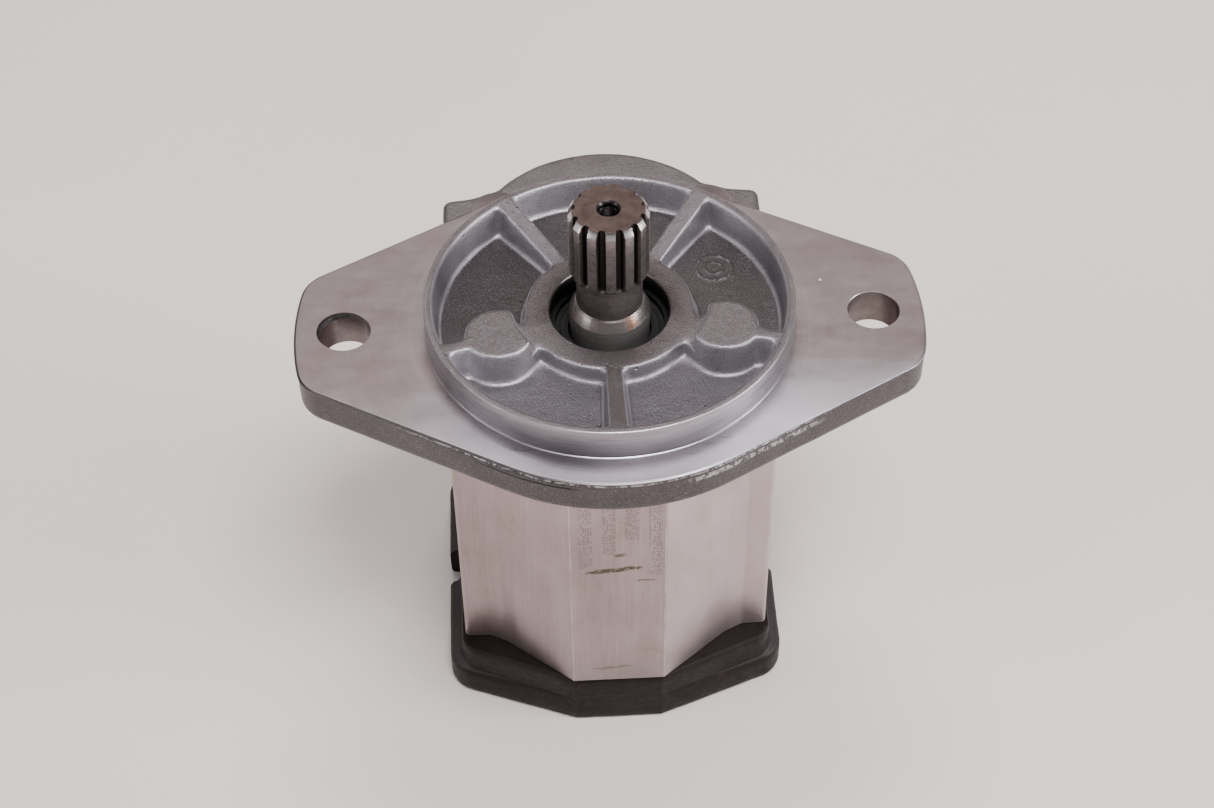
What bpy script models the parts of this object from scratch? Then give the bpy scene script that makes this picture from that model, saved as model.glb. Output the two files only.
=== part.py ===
"""Hydraulic external gear pump with a two-bolt flange and a splined drive shaft.

The pump stands on its rear cover. X runs along the two flange bolt holes, Y runs from
the drive gear to the driven gear, and Z runs up the drive shaft. The drive shaft's axis
is x = y = 0. All dimensions below are in millimetres; objects are made in metres.
"""
import math

import bmesh
import bpy

# ---- driving dimensions, mm ----------------------------------------------------------
GAP = 0.3                      # between pieces that rest on each other
CENTRES = 34.0                 # drive gear axis to driven gear axis
FACE_Z = 135.0                 # mounting face of the flange
COVER_TOP = 19.7               # rear cover thickness
LEDGE_TOP = 10.6               # foot ledge along the rear cover's flanks
BODY_LO = COVER_TOP + GAP
BODY_HI = 107.0
CAST_LO = BODY_HI + GAP        # joint face of the flange casting
CAST_TOP = FACE_Z - 0.7        # as-cast shoulder behind the machined face
PLATE = 11.2                   # flange plate thickness
FLANGE_END_R = 86.8            # radius of the plate's two ends
FLANGE_WAIST_R = 60.0          # radius the plate's four straight edges are tangent to
BOLT_CIRCLE_R = 73.0           # flange bolt holes, from the shaft axis
BOLT_HOLE_R = 7.15
PILOT_R = 50.8
PILOT_INNER_R = 47.5
PILOT_H = 9.7
HUB_R = 23.5
HUB_H = 5.0
SEAL_BORE_R = 16.55
SHAFT_BORE_R = 11.7
RIB_ANGLES = (-90.0, 55.2, 124.8)
RIB_WIDTH = 4.4
BOSS_X = 30.5                  # boss over each front bolt, inside the pilot
BOSS_Y = -12.6
BOSS_R = 9.5
SCREW_X = 30.4                 # through bolts
SCREW_OFFSET_Y = 30.4          # from the line halfway between the gear axes
SCREW_R = 5.0
SCREW_HOLE_R = 5.5
SCREW_TIP_Z = 125.5
COUNTERBORE_R = 9.0
COUNTERBORE_Z = 13.0
SPOT_R = 7.7                   # machined pad over each rear bolt
BODY_HALF_W = 46.0
BODY_FLAT_Y = 54.4             # end flat, from the line halfway between the gear axes
CHAMBER_R = 19.75
BLOCK_R = 19.45
BLOCK_BORE_R = 12.9
BUSH_R = 12.6
BUSH_BORE_R = 11.3
JOURNAL_R = 11.0
GEAR_LO = 47.3
GEAR_HI = 79.7
TEETH = 12
TIP_R = 19.5
ROOT_R = 13.8
PRESSURE_ANGLE = 28.0
BACKLASH = 0.3                 # at the pitch circle, shared by the two gears
SPLINE_TEETH = 13
SPLINE_R = 10.9
SPLINE_ROOT_R = 8.9
SPLINE_PHASE = -62.15          # direction of one tooth, degrees from +X
NECK_R = 9.05
SHAFT_END = FACE_Z + 41.4
SPLINE_LO = FACE_Z + 19.3
COLLAR_HI = FACE_Z + 5.9
CHAMFER_HI = FACE_Z + 8.55
INLET_R = 13.0
OUTLET_R = 9.5
PORT_Z = 63.5
INLET_BOLTS = 19.4             # half the pitch of the port's four tapped holes
OUTLET_BOLTS = 14.6
PORT_BOLT_R = 3.4
PORT_BOLT_DEPTH = 14.0
GROOVE_IN = 22.4               # face seal groove around the gear chamber
GROOVE_OUT = 24.8
GROOVE_DEPTH = 1.9
DOWEL_R = 3.0
DOWELS = ((38.0, 0.0), (-38.0, CENTRES))

MM = 0.001
MID_Y = CENTRES / 2
SCREW_SPOTS = {
    "front_right": (SCREW_X, MID_Y - SCREW_OFFSET_Y),
    "front_left": (-SCREW_X, MID_Y - SCREW_OFFSET_Y),
    "rear_right": (SCREW_X, MID_Y + SCREW_OFFSET_Y),
    "rear_left": (-SCREW_X, MID_Y + SCREW_OFFSET_Y),
}

# ---- scene ---------------------------------------------------------------------------
for old in list(bpy.data.objects):
    bpy.data.objects.remove(old, do_unlink=True)

PARTS = bpy.data.collections.new("hydraulic_gear_pump")
TOOLS = bpy.data.collections.new("cutters")
bpy.context.scene.collection.children.link(PARTS)
bpy.context.scene.collection.children.link(TOOLS)


# ---- helpers -------------------------------------------------------------------------
def material(name, colour, metallic, roughness):
    made = bpy.data.materials.new(name)
    made.use_nodes = True
    shader = made.node_tree.nodes["Principled BSDF"]
    shader.inputs["Base Color"].default_value = (*colour, 1.0)
    shader.inputs["Metallic"].default_value = metallic
    shader.inputs["Roughness"].default_value = roughness
    return made


def arc(cx, cy, radius, start, end, steps):
    """Points along an arc, angles in degrees, both ends included."""
    points = []
    for i in range(steps + 1):
        angle = math.radians(start + (end - start) * i / steps)
        points.append((cx + radius * math.cos(angle), cy + radius * math.sin(angle)))
    return points


def circle(cx, cy, radius, steps):
    return arc(cx, cy, radius, 0.0, 360.0, steps)[:-1]


def rounded(corners, steps=5):
    """A polygon whose corners (x, y, radius) are rounded where the radius isn't zero."""
    points = []
    count = len(corners)
    for i, (x, y, radius) in enumerate(corners):
        if radius == 0:
            points.append((x, y))
            continue
        px, py, _ = corners[i - 1]
        nx, ny, _ = corners[(i + 1) % count]
        back = math.atan2(py - y, px - x)
        ahead = math.atan2(ny - y, nx - x)
        turn = (ahead - back + math.pi) % (2 * math.pi) - math.pi
        reach = radius / abs(math.tan(turn / 2))
        middle = back + turn / 2
        away = radius / abs(math.sin(turn / 2))
        cx = x + away * math.cos(middle)
        cy = y + away * math.sin(middle)
        first = math.atan2(y + reach * math.sin(back) - cy, x + reach * math.cos(back) - cx)
        last = math.atan2(y + reach * math.sin(ahead) - cy, x + reach * math.cos(ahead) - cx)
        sweep = (last - first + math.pi) % (2 * math.pi) - math.pi
        points += arc(cx, cy, radius, math.degrees(first), math.degrees(first + sweep), steps)
    return points


def figure_eight(radius, steps):
    """Outline of two overlapping discs, one on each gear axis."""
    lean = math.degrees(math.asin(MID_Y / radius))
    lower = arc(0, 0, radius, 180 - lean, 360 + lean, steps)
    upper = arc(0, CENTRES, radius, -lean, 180 + lean, steps)
    return lower[:-1] + upper[:-1]


def place(obj, x, y, z, collection):
    obj.location = (x * MM, y * MM, z * MM)
    collection.objects.link(obj)
    return obj


def plate(name, outlines, z_lo, z_hi, collection=None):
    """A flat piece: filled 2D outlines, inner ones being holes, made into a mesh."""
    curve = bpy.data.curves.new(name, "CURVE")
    curve.dimensions = "2D"
    curve.fill_mode = "BOTH"
    curve.extrude = (z_hi - z_lo) / 2 * MM
    for outline in outlines:
        spline = curve.splines.new("POLY")
        spline.points.add(len(outline) - 1)
        for point, (x, y) in zip(spline.points, outline):
            point.co = (x * MM, y * MM, 0.0, 1.0)
        spline.use_cyclic_u = True
    flat = bpy.data.objects.new(name + "_outline", curve)
    bpy.context.scene.collection.objects.link(flat)
    bpy.context.view_layer.update()
    seen = flat.evaluated_get(bpy.context.evaluated_depsgraph_get())
    mesh = bpy.data.meshes.new_from_object(seen)
    bpy.data.objects.remove(flat, do_unlink=True)
    bpy.data.curves.remove(curve)
    work = bmesh.new()
    work.from_mesh(mesh)
    bmesh.ops.remove_doubles(work, verts=work.verts, dist=0.00001)
    work.to_mesh(mesh)
    work.free()
    mesh.materials.clear()
    mesh.name = name
    obj = bpy.data.objects.new(name, mesh)
    return place(obj, 0, 0, (z_lo + z_hi) / 2, collection or PARTS)


def cylinder(name, x, y, radius, z_lo, z_hi, steps, collection=None, turn=0.0):
    mesh = bpy.data.meshes.new(name)
    work = bmesh.new()
    bmesh.ops.create_cone(work, cap_ends=True, segments=steps, radius1=radius * MM,
                          radius2=radius * MM, depth=(z_hi - z_lo) * MM)
    work.to_mesh(mesh)
    work.free()
    obj = bpy.data.objects.new(name, mesh)
    obj.rotation_euler[2] = math.radians(turn)
    return place(obj, x, y, (z_lo + z_hi) / 2, collection or PARTS)


def across(name, side, y, z, radius, x_lo, x_hi, steps):
    """A cutter cylinder along X on the side given by +1 or -1."""
    tool = cylinder(name, 0, y, radius, 0, x_hi - x_lo, steps, TOOLS)
    tool.rotation_euler = (0.0, math.radians(90.0), 0.0)
    tool.location = (side * (x_lo + x_hi) / 2 * MM, y * MM, z * MM)
    return tool


def box(name, x, y, z, size_x, size_y, size_z, collection=None, turn=0.0):
    mesh = bpy.data.meshes.new(name)
    work = bmesh.new()
    bmesh.ops.create_cube(work, size=1.0)
    bmesh.ops.scale(work, vec=(size_x * MM, size_y * MM, size_z * MM), verts=work.verts)
    work.to_mesh(mesh)
    work.free()
    obj = bpy.data.objects.new(name, mesh)
    obj.rotation_euler[2] = math.radians(turn)
    return place(obj, x, y, z, collection or PARTS)


def turned(name, x, y, profile, steps, closed=False, collection=None):
    """A turned piece: (radius, height) points down its outer side, swept about Z."""
    mesh = bpy.data.meshes.new(name)
    edges = [(i, i + 1) for i in range(len(profile) - 1)]
    if closed:
        edges.append((len(profile) - 1, 0))
    mesh.from_pydata([(r * MM, 0.0, z * MM) for r, z in profile], edges, [])
    obj = bpy.data.objects.new(name, mesh)
    screw = obj.modifiers.new("turn", "SCREW")
    screw.axis = "Z"
    screw.angle = 2 * math.pi
    screw.steps = steps
    screw.render_steps = steps
    screw.use_merge_vertices = True
    screw.merge_threshold = 0.00001
    screw.use_smooth_shade = True
    return place(obj, x, y, 0, collection or PARTS)


def boolean(obj, tool, operation):
    tool.hide_render = True
    tool.display_type = "WIRE"
    step = obj.modifiers.new(operation.lower(), "BOOLEAN")
    step.operation = operation
    step.solver = "EXACT"
    step.object = tool
    return obj


def cut(obj, *tools):
    for tool in tools:
        boolean(obj, tool, "DIFFERENCE")
    return obj


def join(obj, *tools):
    for tool in tools:
        boolean(obj, tool, "UNION")
    return obj


def tube_loop(name, points, z, radius, look):
    """A round cord along a closed path."""
    curve = bpy.data.curves.new(name, "CURVE")
    curve.dimensions = "3D"
    curve.bevel_depth = radius * MM
    curve.bevel_resolution = 1
    spline = curve.splines.new("POLY")
    spline.points.add(len(points) - 1)
    for point, (x, y) in zip(spline.points, points):
        point.co = (x * MM, y * MM, 0.0, 1.0)
    spline.use_cyclic_u = True
    curve.materials.append(look)
    obj = bpy.data.objects.new(name, curve)
    return place(obj, 0, 0, z, PARTS)


def dress(obj, look):
    obj.data.materials.append(look)
    for polygon in obj.data.polygons:
        polygon.use_smooth = True
    if hasattr(obj.data, "set_sharp_from_angle"):
        obj.data.set_sharp_from_angle(angle=math.radians(35.0))
    return obj


# ---- materials -----------------------------------------------------------------------
CAST_ALUMINIUM = material("cast_aluminium", (0.42, 0.40, 0.39), 0.85, 0.42)
BODY_ALUMINIUM = material("extruded_aluminium", (0.55, 0.50, 0.48), 0.85, 0.38)
BLACK_IRON = material("black_cast_iron", (0.02, 0.021, 0.024), 0.1, 0.5)
SHAFT_STEEL = material("shaft_steel", (0.16, 0.135, 0.12), 0.95, 0.38)
BLOCK_ALUMINIUM = material("block_aluminium", (0.62, 0.62, 0.63), 0.9, 0.35)
BRONZE = material("bush_bronze", (0.55, 0.36, 0.17), 0.9, 0.35)
RUBBER = material("black_rubber", (0.012, 0.012, 0.013), 0.0, 0.6)
BACKUP = material("backup_plastic", (0.75, 0.72, 0.62), 0.0, 0.45)
STEEL = material("zinc_steel", (0.5, 0.5, 0.5), 0.95, 0.32)
BLACK_STEEL = material("black_steel", (0.03, 0.03, 0.032), 0.7, 0.4)


# ---- outlines ------------------------------------------------------------------------
def flange_outline():
    slope_reach = math.sqrt(FLANGE_END_R ** 2 - FLANGE_WAIST_R ** 2)
    tangent_x = FLANGE_WAIST_R * math.cos(math.radians(60.0))
    tangent_y = FLANGE_WAIST_R * math.sin(math.radians(60.0))
    corner_x = tangent_x + slope_reach * math.cos(math.radians(30.0))
    corner_y = tangent_y - slope_reach * math.sin(math.radians(30.0))
    front = arc(0, 0, FLANGE_WAIST_R, -90.0, -60.0, 6)
    end = arc(0, 0, FLANGE_END_R, -9.0, 9.0, 4)
    right = [(x, y, 0) for x, y in front]
    right += [(corner_x, -corner_y, 11.0)]
    right += [(x, y, 0) for x, y in end]
    right += [(corner_x, corner_y, 11.0)]
    right += [(x, -y, 0) for x, y in reversed(front)]
    left = [(-x, y, r) for x, y, r in reversed(right[1:-1])]
    return rounded(right + left)


def casting_outline():
    """Figure-8 shaped flange casting below the plate, with an ear at each corner."""
    right = []
    for side in (-1, 1):
        half = [(x, MID_Y + side * (y - MID_Y), r) for x, y, r in (
            (46.2, 48.0, 0), (46.2, 53.4, 3.0), (37.5, 54.6, 7.0), (31.0, 57.2, 4.0))]
        bulge = arc(0, 34.4, 38.0, 38.0, 90.0, 7)
        half += [(x, MID_Y + side * (y - MID_Y), 0) for x, y in bulge]
        if side < 0:
            half.reverse()
        right.append(half)
    front, rear = right
    whole = front + rear
    left = [(-x, y, r) for x, y, r in reversed(whole[1:-1])]
    return rounded(whole + left, 4)


def body_outline():
    """Extruded section: end flats, oblique facets, and an ear at each corner."""
    right = []
    for side in (-1, 1):
        half = [(x, MID_Y + side * y, r) for x, y, r in (
            (BODY_HALF_W, 35.3, 1.6), (38.5, 35.5, 3.0), (33.2, 38.3, 8.0),
            (13.65, BODY_FLAT_Y, 2.0))]
        if side < 0:
            half.reverse()
        right += half
    left = [(-x, y, r) for x, y, r in reversed(right)]
    return rounded(right + left, 4)


def cover_outline(half_width, corner):
    right = []
    for side in (-1, 1):
        half = [(half_width, 39.4, corner), (13.0, 54.5, 2.0)]
        half = [(x, MID_Y + side * y, r) for x, y, r in half]
        if side < 0:
            half.reverse()
        right += half
    left = [(-x, y, r) for x, y, r in reversed(right)]
    return rounded(right + left, 5)


def gear_outline(phase):
    """Involute spur gear with radial flanks below the base circle."""
    pitch_r = MID_Y
    tilt = math.radians(PRESSURE_ANGLE)
    base_r = pitch_r * math.cos(tilt)
    half_pitch = math.pi / (2 * TEETH) - BACKLASH / 4 / pitch_r
    at_pitch = math.tan(tilt) - tilt

    def half_angle(radius):
        spread = math.acos(min(1.0, base_r / radius))
        return half_pitch + at_pitch - (math.tan(spread) - spread)

    radii = [base_r + (TIP_R - base_r) * (i / 4) for i in range(5)]
    points = []
    for tooth in range(TEETH):
        middle = math.radians(phase) + 2 * math.pi * tooth / TEETH
        flank = [(ROOT_R, half_angle(base_r) + 0.012)]
        flank += [(r, half_angle(r)) for r in radii]
        rise = [(r, middle - a) for r, a in flank]
        fall = [(r, middle + a) for r, a in reversed(flank)]
        for r, angle in rise + fall:
            points.append((r * math.cos(angle), r * math.sin(angle)))
        gap = middle + math.pi / TEETH
        points.append((ROOT_R * math.cos(gap), ROOT_R * math.sin(gap)))
    return points


def spline_outline():
    points = []
    for tooth in range(SPLINE_TEETH):
        middle = SPLINE_PHASE + 360.0 * tooth / SPLINE_TEETH
        for radius, angle in ((SPLINE_ROOT_R, -9.2), (10.2, -7.1), (SPLINE_R, -5.0),
                              (SPLINE_R, 5.0), (10.2, 7.1), (SPLINE_ROOT_R, 9.2)):
            points += arc(0, 0, radius, middle + angle, middle + angle, 1)[:1]
    return points


def three_band(inner, outer):
    """Band in the shape of a 3 that wraps both bores and dips between them."""
    def path(radius):
        points = arc(0, CENTRES, radius, 50.0, 225.0, 11)
        points.append((9.4 - radius, MID_Y))
        return points + arc(0, 0, radius, 135.0, 310.0, 11)
    return path(outer) + path(inner)[::-1]


# ---- rear cover ----------------------------------------------------------------------
rear_cover = plate("rear_cover", [cover_outline(51.4, 10.0)], 0.0, LEDGE_TOP)
join(rear_cover, plate("cover_upper", [cover_outline(47.2, 7.0)], 4.0, COVER_TOP, TOOLS))
for side in (-1, 1):
    cut(rear_cover, box("flank_notch", side * 54.8, MID_Y, LEDGE_TOP / 2,
                        14.0, 12.6, 30.0, TOOLS))
for x, y in SCREW_SPOTS.values():
    cut(rear_cover, cylinder("screw_hole", x, y, SCREW_HOLE_R, -5, 30, 18, TOOLS))
    cut(rear_cover, cylinder("counterbore", x, y, COUNTERBORE_R, -5, COUNTERBORE_Z, 24, TOOLS))
for x, y in DOWELS:
    cut(rear_cover, cylinder("dowel_hole", x, y, DOWEL_R + GAP, 11.6, 25, 14, TOOLS))
dress(rear_cover, BLACK_IRON)

# ---- body ----------------------------------------------------------------------------
pump_body = plate("pump_body", [body_outline()], BODY_LO, BODY_HI)
cut(pump_body, plate("gear_chamber", [figure_eight(CHAMBER_R, 18)], 0, 130, TOOLS))
for z_lo, z_hi in ((BODY_LO - 5, BODY_LO + GROOVE_DEPTH), (BODY_HI - GROOVE_DEPTH, BODY_HI + 5)):
    cut(pump_body, plate("seal_groove", [figure_eight(GROOVE_OUT, 12),
                                         figure_eight(GROOVE_IN, 12)], z_lo, z_hi, TOOLS))
for x, y in SCREW_SPOTS.values():
    cut(pump_body, cylinder("screw_hole", x, y, SCREW_HOLE_R, 10, 120, 18, TOOLS))
for x, y in DOWELS:
    cut(pump_body, cylinder("dowel_hole", x, y, DOWEL_R + GAP, 10, 28.4, 14, TOOLS))
    cut(pump_body, cylinder("dowel_hole", x, y, DOWEL_R + GAP, 98.6, 115, 14, TOOLS))
for side, radius, pitch in ((1, INLET_R, INLET_BOLTS), (-1, OUTLET_R, OUTLET_BOLTS)):
    cut(pump_body, across("port", side, MID_Y, PORT_Z, radius, 4.0, 60.0, 32))
    for dy in (-pitch, pitch):
        for dz in (-pitch, pitch):
            cut(pump_body, across("port_bolt_hole", side, MID_Y + dy, PORT_Z + dz,
                                  PORT_BOLT_R, BODY_HALF_W - PORT_BOLT_DEPTH, 60.0, 12))
dress(pump_body, BODY_ALUMINIUM)

# ---- mounting flange -----------------------------------------------------------------
mounting_flange = plate("mounting_flange", [casting_outline()], CAST_LO, CAST_TOP)
join(mounting_flange, plate("flange_plate", [flange_outline()], FACE_Z - PLATE, FACE_Z, TOOLS))
for side in (-1, 1):
    join(mounting_flange, cylinder("screw_pad", side * SCREW_X, MID_Y + SCREW_OFFSET_Y, SPOT_R,
                                   FACE_Z - 5, FACE_Z - 0.03, 24, TOOLS))
join(mounting_flange, turned("pilot", 0, 0, [
    (PILOT_R, FACE_Z + PILOT_H), (PILOT_R, FACE_Z - 5), (46.0, FACE_Z - 5),
    (PILOT_INNER_R, FACE_Z + PILOT_H)], 64, True, TOOLS))
join(mounting_flange, turned("hub", 0, 0, [
    (0, FACE_Z + HUB_H), (HUB_R, FACE_Z + HUB_H), (HUB_R + 0.6, FACE_Z - 4), (0, FACE_Z - 4)],
    36, False, TOOLS))
for angle in RIB_ANGLES:
    rib = plate("rib", [[(20.0, FACE_Z - 4), (48.8, FACE_Z - 4), (48.8, FACE_Z + 9.3),
                         (23.4, FACE_Z + 4.95), (20.0, FACE_Z + 4.3)]],
                -RIB_WIDTH / 2, RIB_WIDTH / 2, TOOLS)
    rib.rotation_euler = (math.radians(90.0), 0.0, math.radians(angle))
    join(mounting_flange, rib)
for side in (-1, 1):
    boss = cylinder("bolt_boss", side * BOSS_X, BOSS_Y, BOSS_R, FACE_Z - 4, FACE_Z + 9.6,
                    28, TOOLS)
    cut(boss, cylinder("hub_relief", 0, 0, 26.8, FACE_Z - 10, FACE_Z + 20, 60, TOOLS))
    join(mounting_flange, boss)
    join(mounting_flange, box("boss_web", side * 42.0, -16.7, FACE_Z + 2.8, 13.0, 4.8, 13.4,
                              TOOLS, -side * 19.3))
cut(mounting_flange, turned("shaft_bore", 0, 0, [
    (0, 160), (SEAL_BORE_R, 160), (SEAL_BORE_R, 134.9), (17.4, 134.9), (17.4, 133.4),
    (SEAL_BORE_R, 133.4), (SEAL_BORE_R, 126.0), (SHAFT_BORE_R, 126.0), (SHAFT_BORE_R, 100),
    (0, 100)], 32, False, TOOLS))
for side in (-1, 1):
    cut(mounting_flange, cylinder("flange_bolt_hole", side * BOLT_CIRCLE_R, 0, BOLT_HOLE_R,
                                  110, 145, 28, TOOLS))
for x, y in SCREW_SPOTS.values():
    cut(mounting_flange, cylinder("tapped_hole", x, y, SCREW_R + GAP, 100, 128, 16, TOOLS))
for x, y in DOWELS:
    cut(mounting_flange, cylinder("dowel_hole", x, y, DOWEL_R + GAP, 100, 115.5, 14, TOOLS))
dress(mounting_flange, CAST_ALUMINIUM)

# ---- drive shaft and gear, one piece -------------------------------------------------
drive_gear_shaft = turned("drive_gear_shaft", 0, 0, [
    (0, SPLINE_LO + 6), (NECK_R - 0.6, SPLINE_LO + 6), (NECK_R - 0.6, SPLINE_LO + 0.8),
    (NECK_R, SPLINE_LO), (NECK_R, CHAMFER_HI + 0.6), (NECK_R + 0.4, CHAMFER_HI),
    (JOURNAL_R + 0.1, COLLAR_HI), (JOURNAL_R + 0.1, 116.0), (JOURNAL_R, 115.6),
    (JOURNAL_R, 21.4), (JOURNAL_R - 1, 20.4), (0, 20.4)], 28)
join(drive_gear_shaft, plate("drive_gear", [gear_outline(90.0)], GEAR_LO, GEAR_HI, TOOLS))
splines = plate("splines", [spline_outline()], SPLINE_LO, SHAFT_END, TOOLS)
boolean(splines, turned("spline_ends", 0, 0, [
    (0, SHAFT_END), (9.76, SHAFT_END), (SPLINE_R + 0.06, SHAFT_END - 1.9),
    (SPLINE_R + 0.06, SPLINE_LO + 1.4), (9.5, SPLINE_LO), (0, SPLINE_LO)], 39, False, TOOLS),
    "INTERSECT")
join(drive_gear_shaft, splines)
cut(drive_gear_shaft, turned("end_hole", 0, 0, [
    (0, SHAFT_END + 2), (5.2, SHAFT_END + 2), (2.6, SHAFT_END - 0.6), (2.6, SHAFT_END - 14),
    (0, SHAFT_END - 15.5)], 14, False, TOOLS))
dress(drive_gear_shaft, SHAFT_STEEL)

# ---- driven shaft and gear, one piece ------------------------------------------------
driven_gear_shaft = turned("driven_gear_shaft", 0, CENTRES, [
    (0, 106.4), (JOURNAL_R - 1, 106.4), (JOURNAL_R, 105.4), (JOURNAL_R, 21.4),
    (JOURNAL_R - 1, 20.4), (0, 20.4)], 28)
driven_teeth = plate("driven_gear", [gear_outline(270.0 + 180.0 / TEETH)], GEAR_LO, GEAR_HI,
                     TOOLS)
driven_teeth.location[1] = CENTRES * MM
join(driven_gear_shaft, driven_teeth)
dress(driven_gear_shaft, SHAFT_STEEL)


# ---- bearing blocks, bushes, pressure seals ------------------------------------------
def bearing_set(which, z_lo, z_hi, outward):
    """One end's block; outward is +1 where its sealed face points up, else -1."""
    block = plate(which + "_bearing_block", [figure_eight(BLOCK_R, 16)], z_lo, z_hi)
    for y in (0.0, CENTRES):
        cut(block, cylinder("bush_bore", 0, y, BLOCK_BORE_R, z_lo - 5, z_hi + 5, 28, TOOLS))
    face = z_hi if outward > 0 else z_lo
    gear_face = z_lo if outward > 0 else z_hi
    groove = sorted((face - outward * 2.4, face + outward * 3))
    cut(block, plate("pressure_groove", [three_band(13.5, 17.0)], *groove, TOOLS))
    for side in (-1, 1):
        cut(block, box("relief_pocket", side * 6.3, MID_Y, gear_face, 5.0, 5.0, 3.6, TOOLS))
    dress(block, BLOCK_ALUMINIUM)
    level = sorted((face - outward * 2.1, face + outward * 0.1))
    seal = plate(which + "_pressure_seal", [three_band(14.95, 16.7)], *level)
    dress(seal, RUBBER)
    backup = plate(which + "_backup_ring", [three_band(13.8, 14.65)], *level)
    dress(backup, BACKUP)
    for shaft, y in (("drive", 0.0), ("driven", CENTRES)):
        bush = turned("_".join((shaft, which, "bush")), 0, y, [
            (BUSH_R, z_hi - 0.3), (BUSH_R, z_lo + 0.3), (BUSH_BORE_R, z_lo + 0.3),
            (BUSH_BORE_R, z_hi - 0.3)], 24, True)
        dress(bush, BRONZE)


bearing_set("front", GEAR_HI + GAP, BODY_HI - 0.4, 1)
bearing_set("rear", BODY_LO + 0.4, GEAR_LO - GAP, -1)

# ---- face seals of the body ----------------------------------------------------------
SEAL_PATH = figure_eight((GROOVE_IN + GROOVE_OUT) / 2, 12)
tube_loop("front_body_seal", SEAL_PATH, BODY_HI - 0.8, 0.85, RUBBER)
tube_loop("rear_body_seal", SEAL_PATH, BODY_LO + 0.8, 0.85, RUBBER)

# ---- shaft seal ----------------------------------------------------------------------
seal_case = turned("shaft_seal_case", 0, 0, [
    (16.3, 132.0), (16.3, 126.4), (15.5, 126.4), (15.5, 131.2), (13.4, 131.2), (13.4, 132.0)],
    24, True)
dress(seal_case, STEEL)
seal_lip = turned("shaft_seal_lip", 0, 0, [
    (16.3, 133.1), (16.3, 132.3), (13.1, 132.3), (13.1, 130.2), (13.6, 129.2), (13.2, 127.2),
    (11.9, 127.2), (11.45, 128.2), (12.1, 129.8), (12.1, 131.8), (11.5, 133.1)],
    24, True)
dress(seal_lip, RUBBER)
section = [(14.35 + 0.5 * math.cos(k * math.pi / 3), 128.3 - 0.5 * math.sin(k * math.pi / 3))
           for k in range(6)]
garter_spring = turned("garter_spring", 0, 0, section, 24, True)
dress(garter_spring, STEEL)


def circlip_outline(gap_half):
    """Internal retaining ring, open at the front, with an eyelet at each end."""
    start = -90.0 + gap_half
    end = 270.0 - gap_half
    outer = arc(0, 0, 17.1, start, end, 24)
    inner = arc(0, 0, 15.1, end - 16.0, start + 16.0, 22)
    left = arc(0, 0, 13.2, end, end - 12.0, 3)
    right = arc(0, 0, 13.2, start + 12.0, start, 3)
    return outer + left + inner + right


eyes = [circle(*arc(0, 0, 14.8, angle, angle, 1)[0], 0.8, 8) for angle in (-73.0, -107.0)]
retaining_ring = plate("seal_retaining_ring", [circlip_outline(11.0)] + eyes, 133.7, 134.6)
dress(retaining_ring, BLACK_STEEL)

# ---- cap screws, washers, dowels -----------------------------------------------------
for spot, (x, y) in SCREW_SPOTS.items():
    screw = turned("cap_screw_" + spot, x, y, [
        (0, SCREW_TIP_Z), (SCREW_R - 0.8, SCREW_TIP_Z), (SCREW_R, SCREW_TIP_Z - 1),
        (SCREW_R, 11.0), (8.0, 11.0), (8.0, 2.2), (7.3, 1.4), (0, 1.4)], 18)
    cut(screw, cylinder("hex_socket", x, y, 4.6, -3, 7.0, 6, TOOLS))
    dress(screw, BLACK_STEEL)
    washer = turned("washer_" + spot, x, y, [
        (8.6, 12.75), (8.6, 11.3), (5.3, 11.3), (5.3, 12.75)], 20, True)
    dress(washer, STEEL)
for which, z_lo, z_hi in (("rear", 12.2, 27.8), ("front", 99.2, 114.8)):
    for hand, (x, y) in zip(("right", "left"), DOWELS):
        dowel = cylinder("_".join((which, "dowel", hand)), x, y, DOWEL_R, z_lo, z_hi, 14)
        dress(dowel, STEEL)
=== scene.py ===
import itertools
import math

import bmesh
import bpy
import numpy as np
from mathutils import Matrix, Vector


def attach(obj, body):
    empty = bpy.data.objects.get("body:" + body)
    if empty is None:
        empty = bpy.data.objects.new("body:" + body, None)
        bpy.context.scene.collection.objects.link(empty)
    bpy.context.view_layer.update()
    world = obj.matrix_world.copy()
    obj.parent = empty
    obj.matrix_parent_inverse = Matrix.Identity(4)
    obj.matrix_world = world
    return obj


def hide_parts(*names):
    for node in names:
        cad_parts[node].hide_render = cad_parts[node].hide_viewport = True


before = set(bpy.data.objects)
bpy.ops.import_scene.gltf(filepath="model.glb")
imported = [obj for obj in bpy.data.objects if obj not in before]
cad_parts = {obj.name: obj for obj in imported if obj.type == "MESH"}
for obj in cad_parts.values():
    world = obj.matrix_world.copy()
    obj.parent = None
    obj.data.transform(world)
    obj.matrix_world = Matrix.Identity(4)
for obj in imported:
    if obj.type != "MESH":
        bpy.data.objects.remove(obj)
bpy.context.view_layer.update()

# lengths are millimetres, turned into metres where a mesh is made
MM = 0.001
PI = math.pi
FACE = 135              # height of the mounting face
MID = 17                # y of the middle between the two shafts
PORT_Z = 63.5           # height of the ports, half way up the gears
FLANK = 46              # x of the body's side faces
TOP = 176.4             # height of the shaft's end
TEETH = 13              # splines of the drive shaft
SCREWS = [(sx * 30.4, MID + sy * 30.4) for sy in (-1, 1) for sx in (-1, 1)]
SCREW_NAMES = ["front_left", "front_right", "rear_left", "rear_right"]
DOWELS = ((38, 0), (-38, 34))


# ---------------------------------------------------------------- outlines and profiles
def arc(cx, cy, r, a0, a1, n):
    a = np.radians(np.linspace(a0, a1, n + 1))
    return [(cx + r * math.cos(t), cy + r * math.sin(t)) for t in a]


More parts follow.
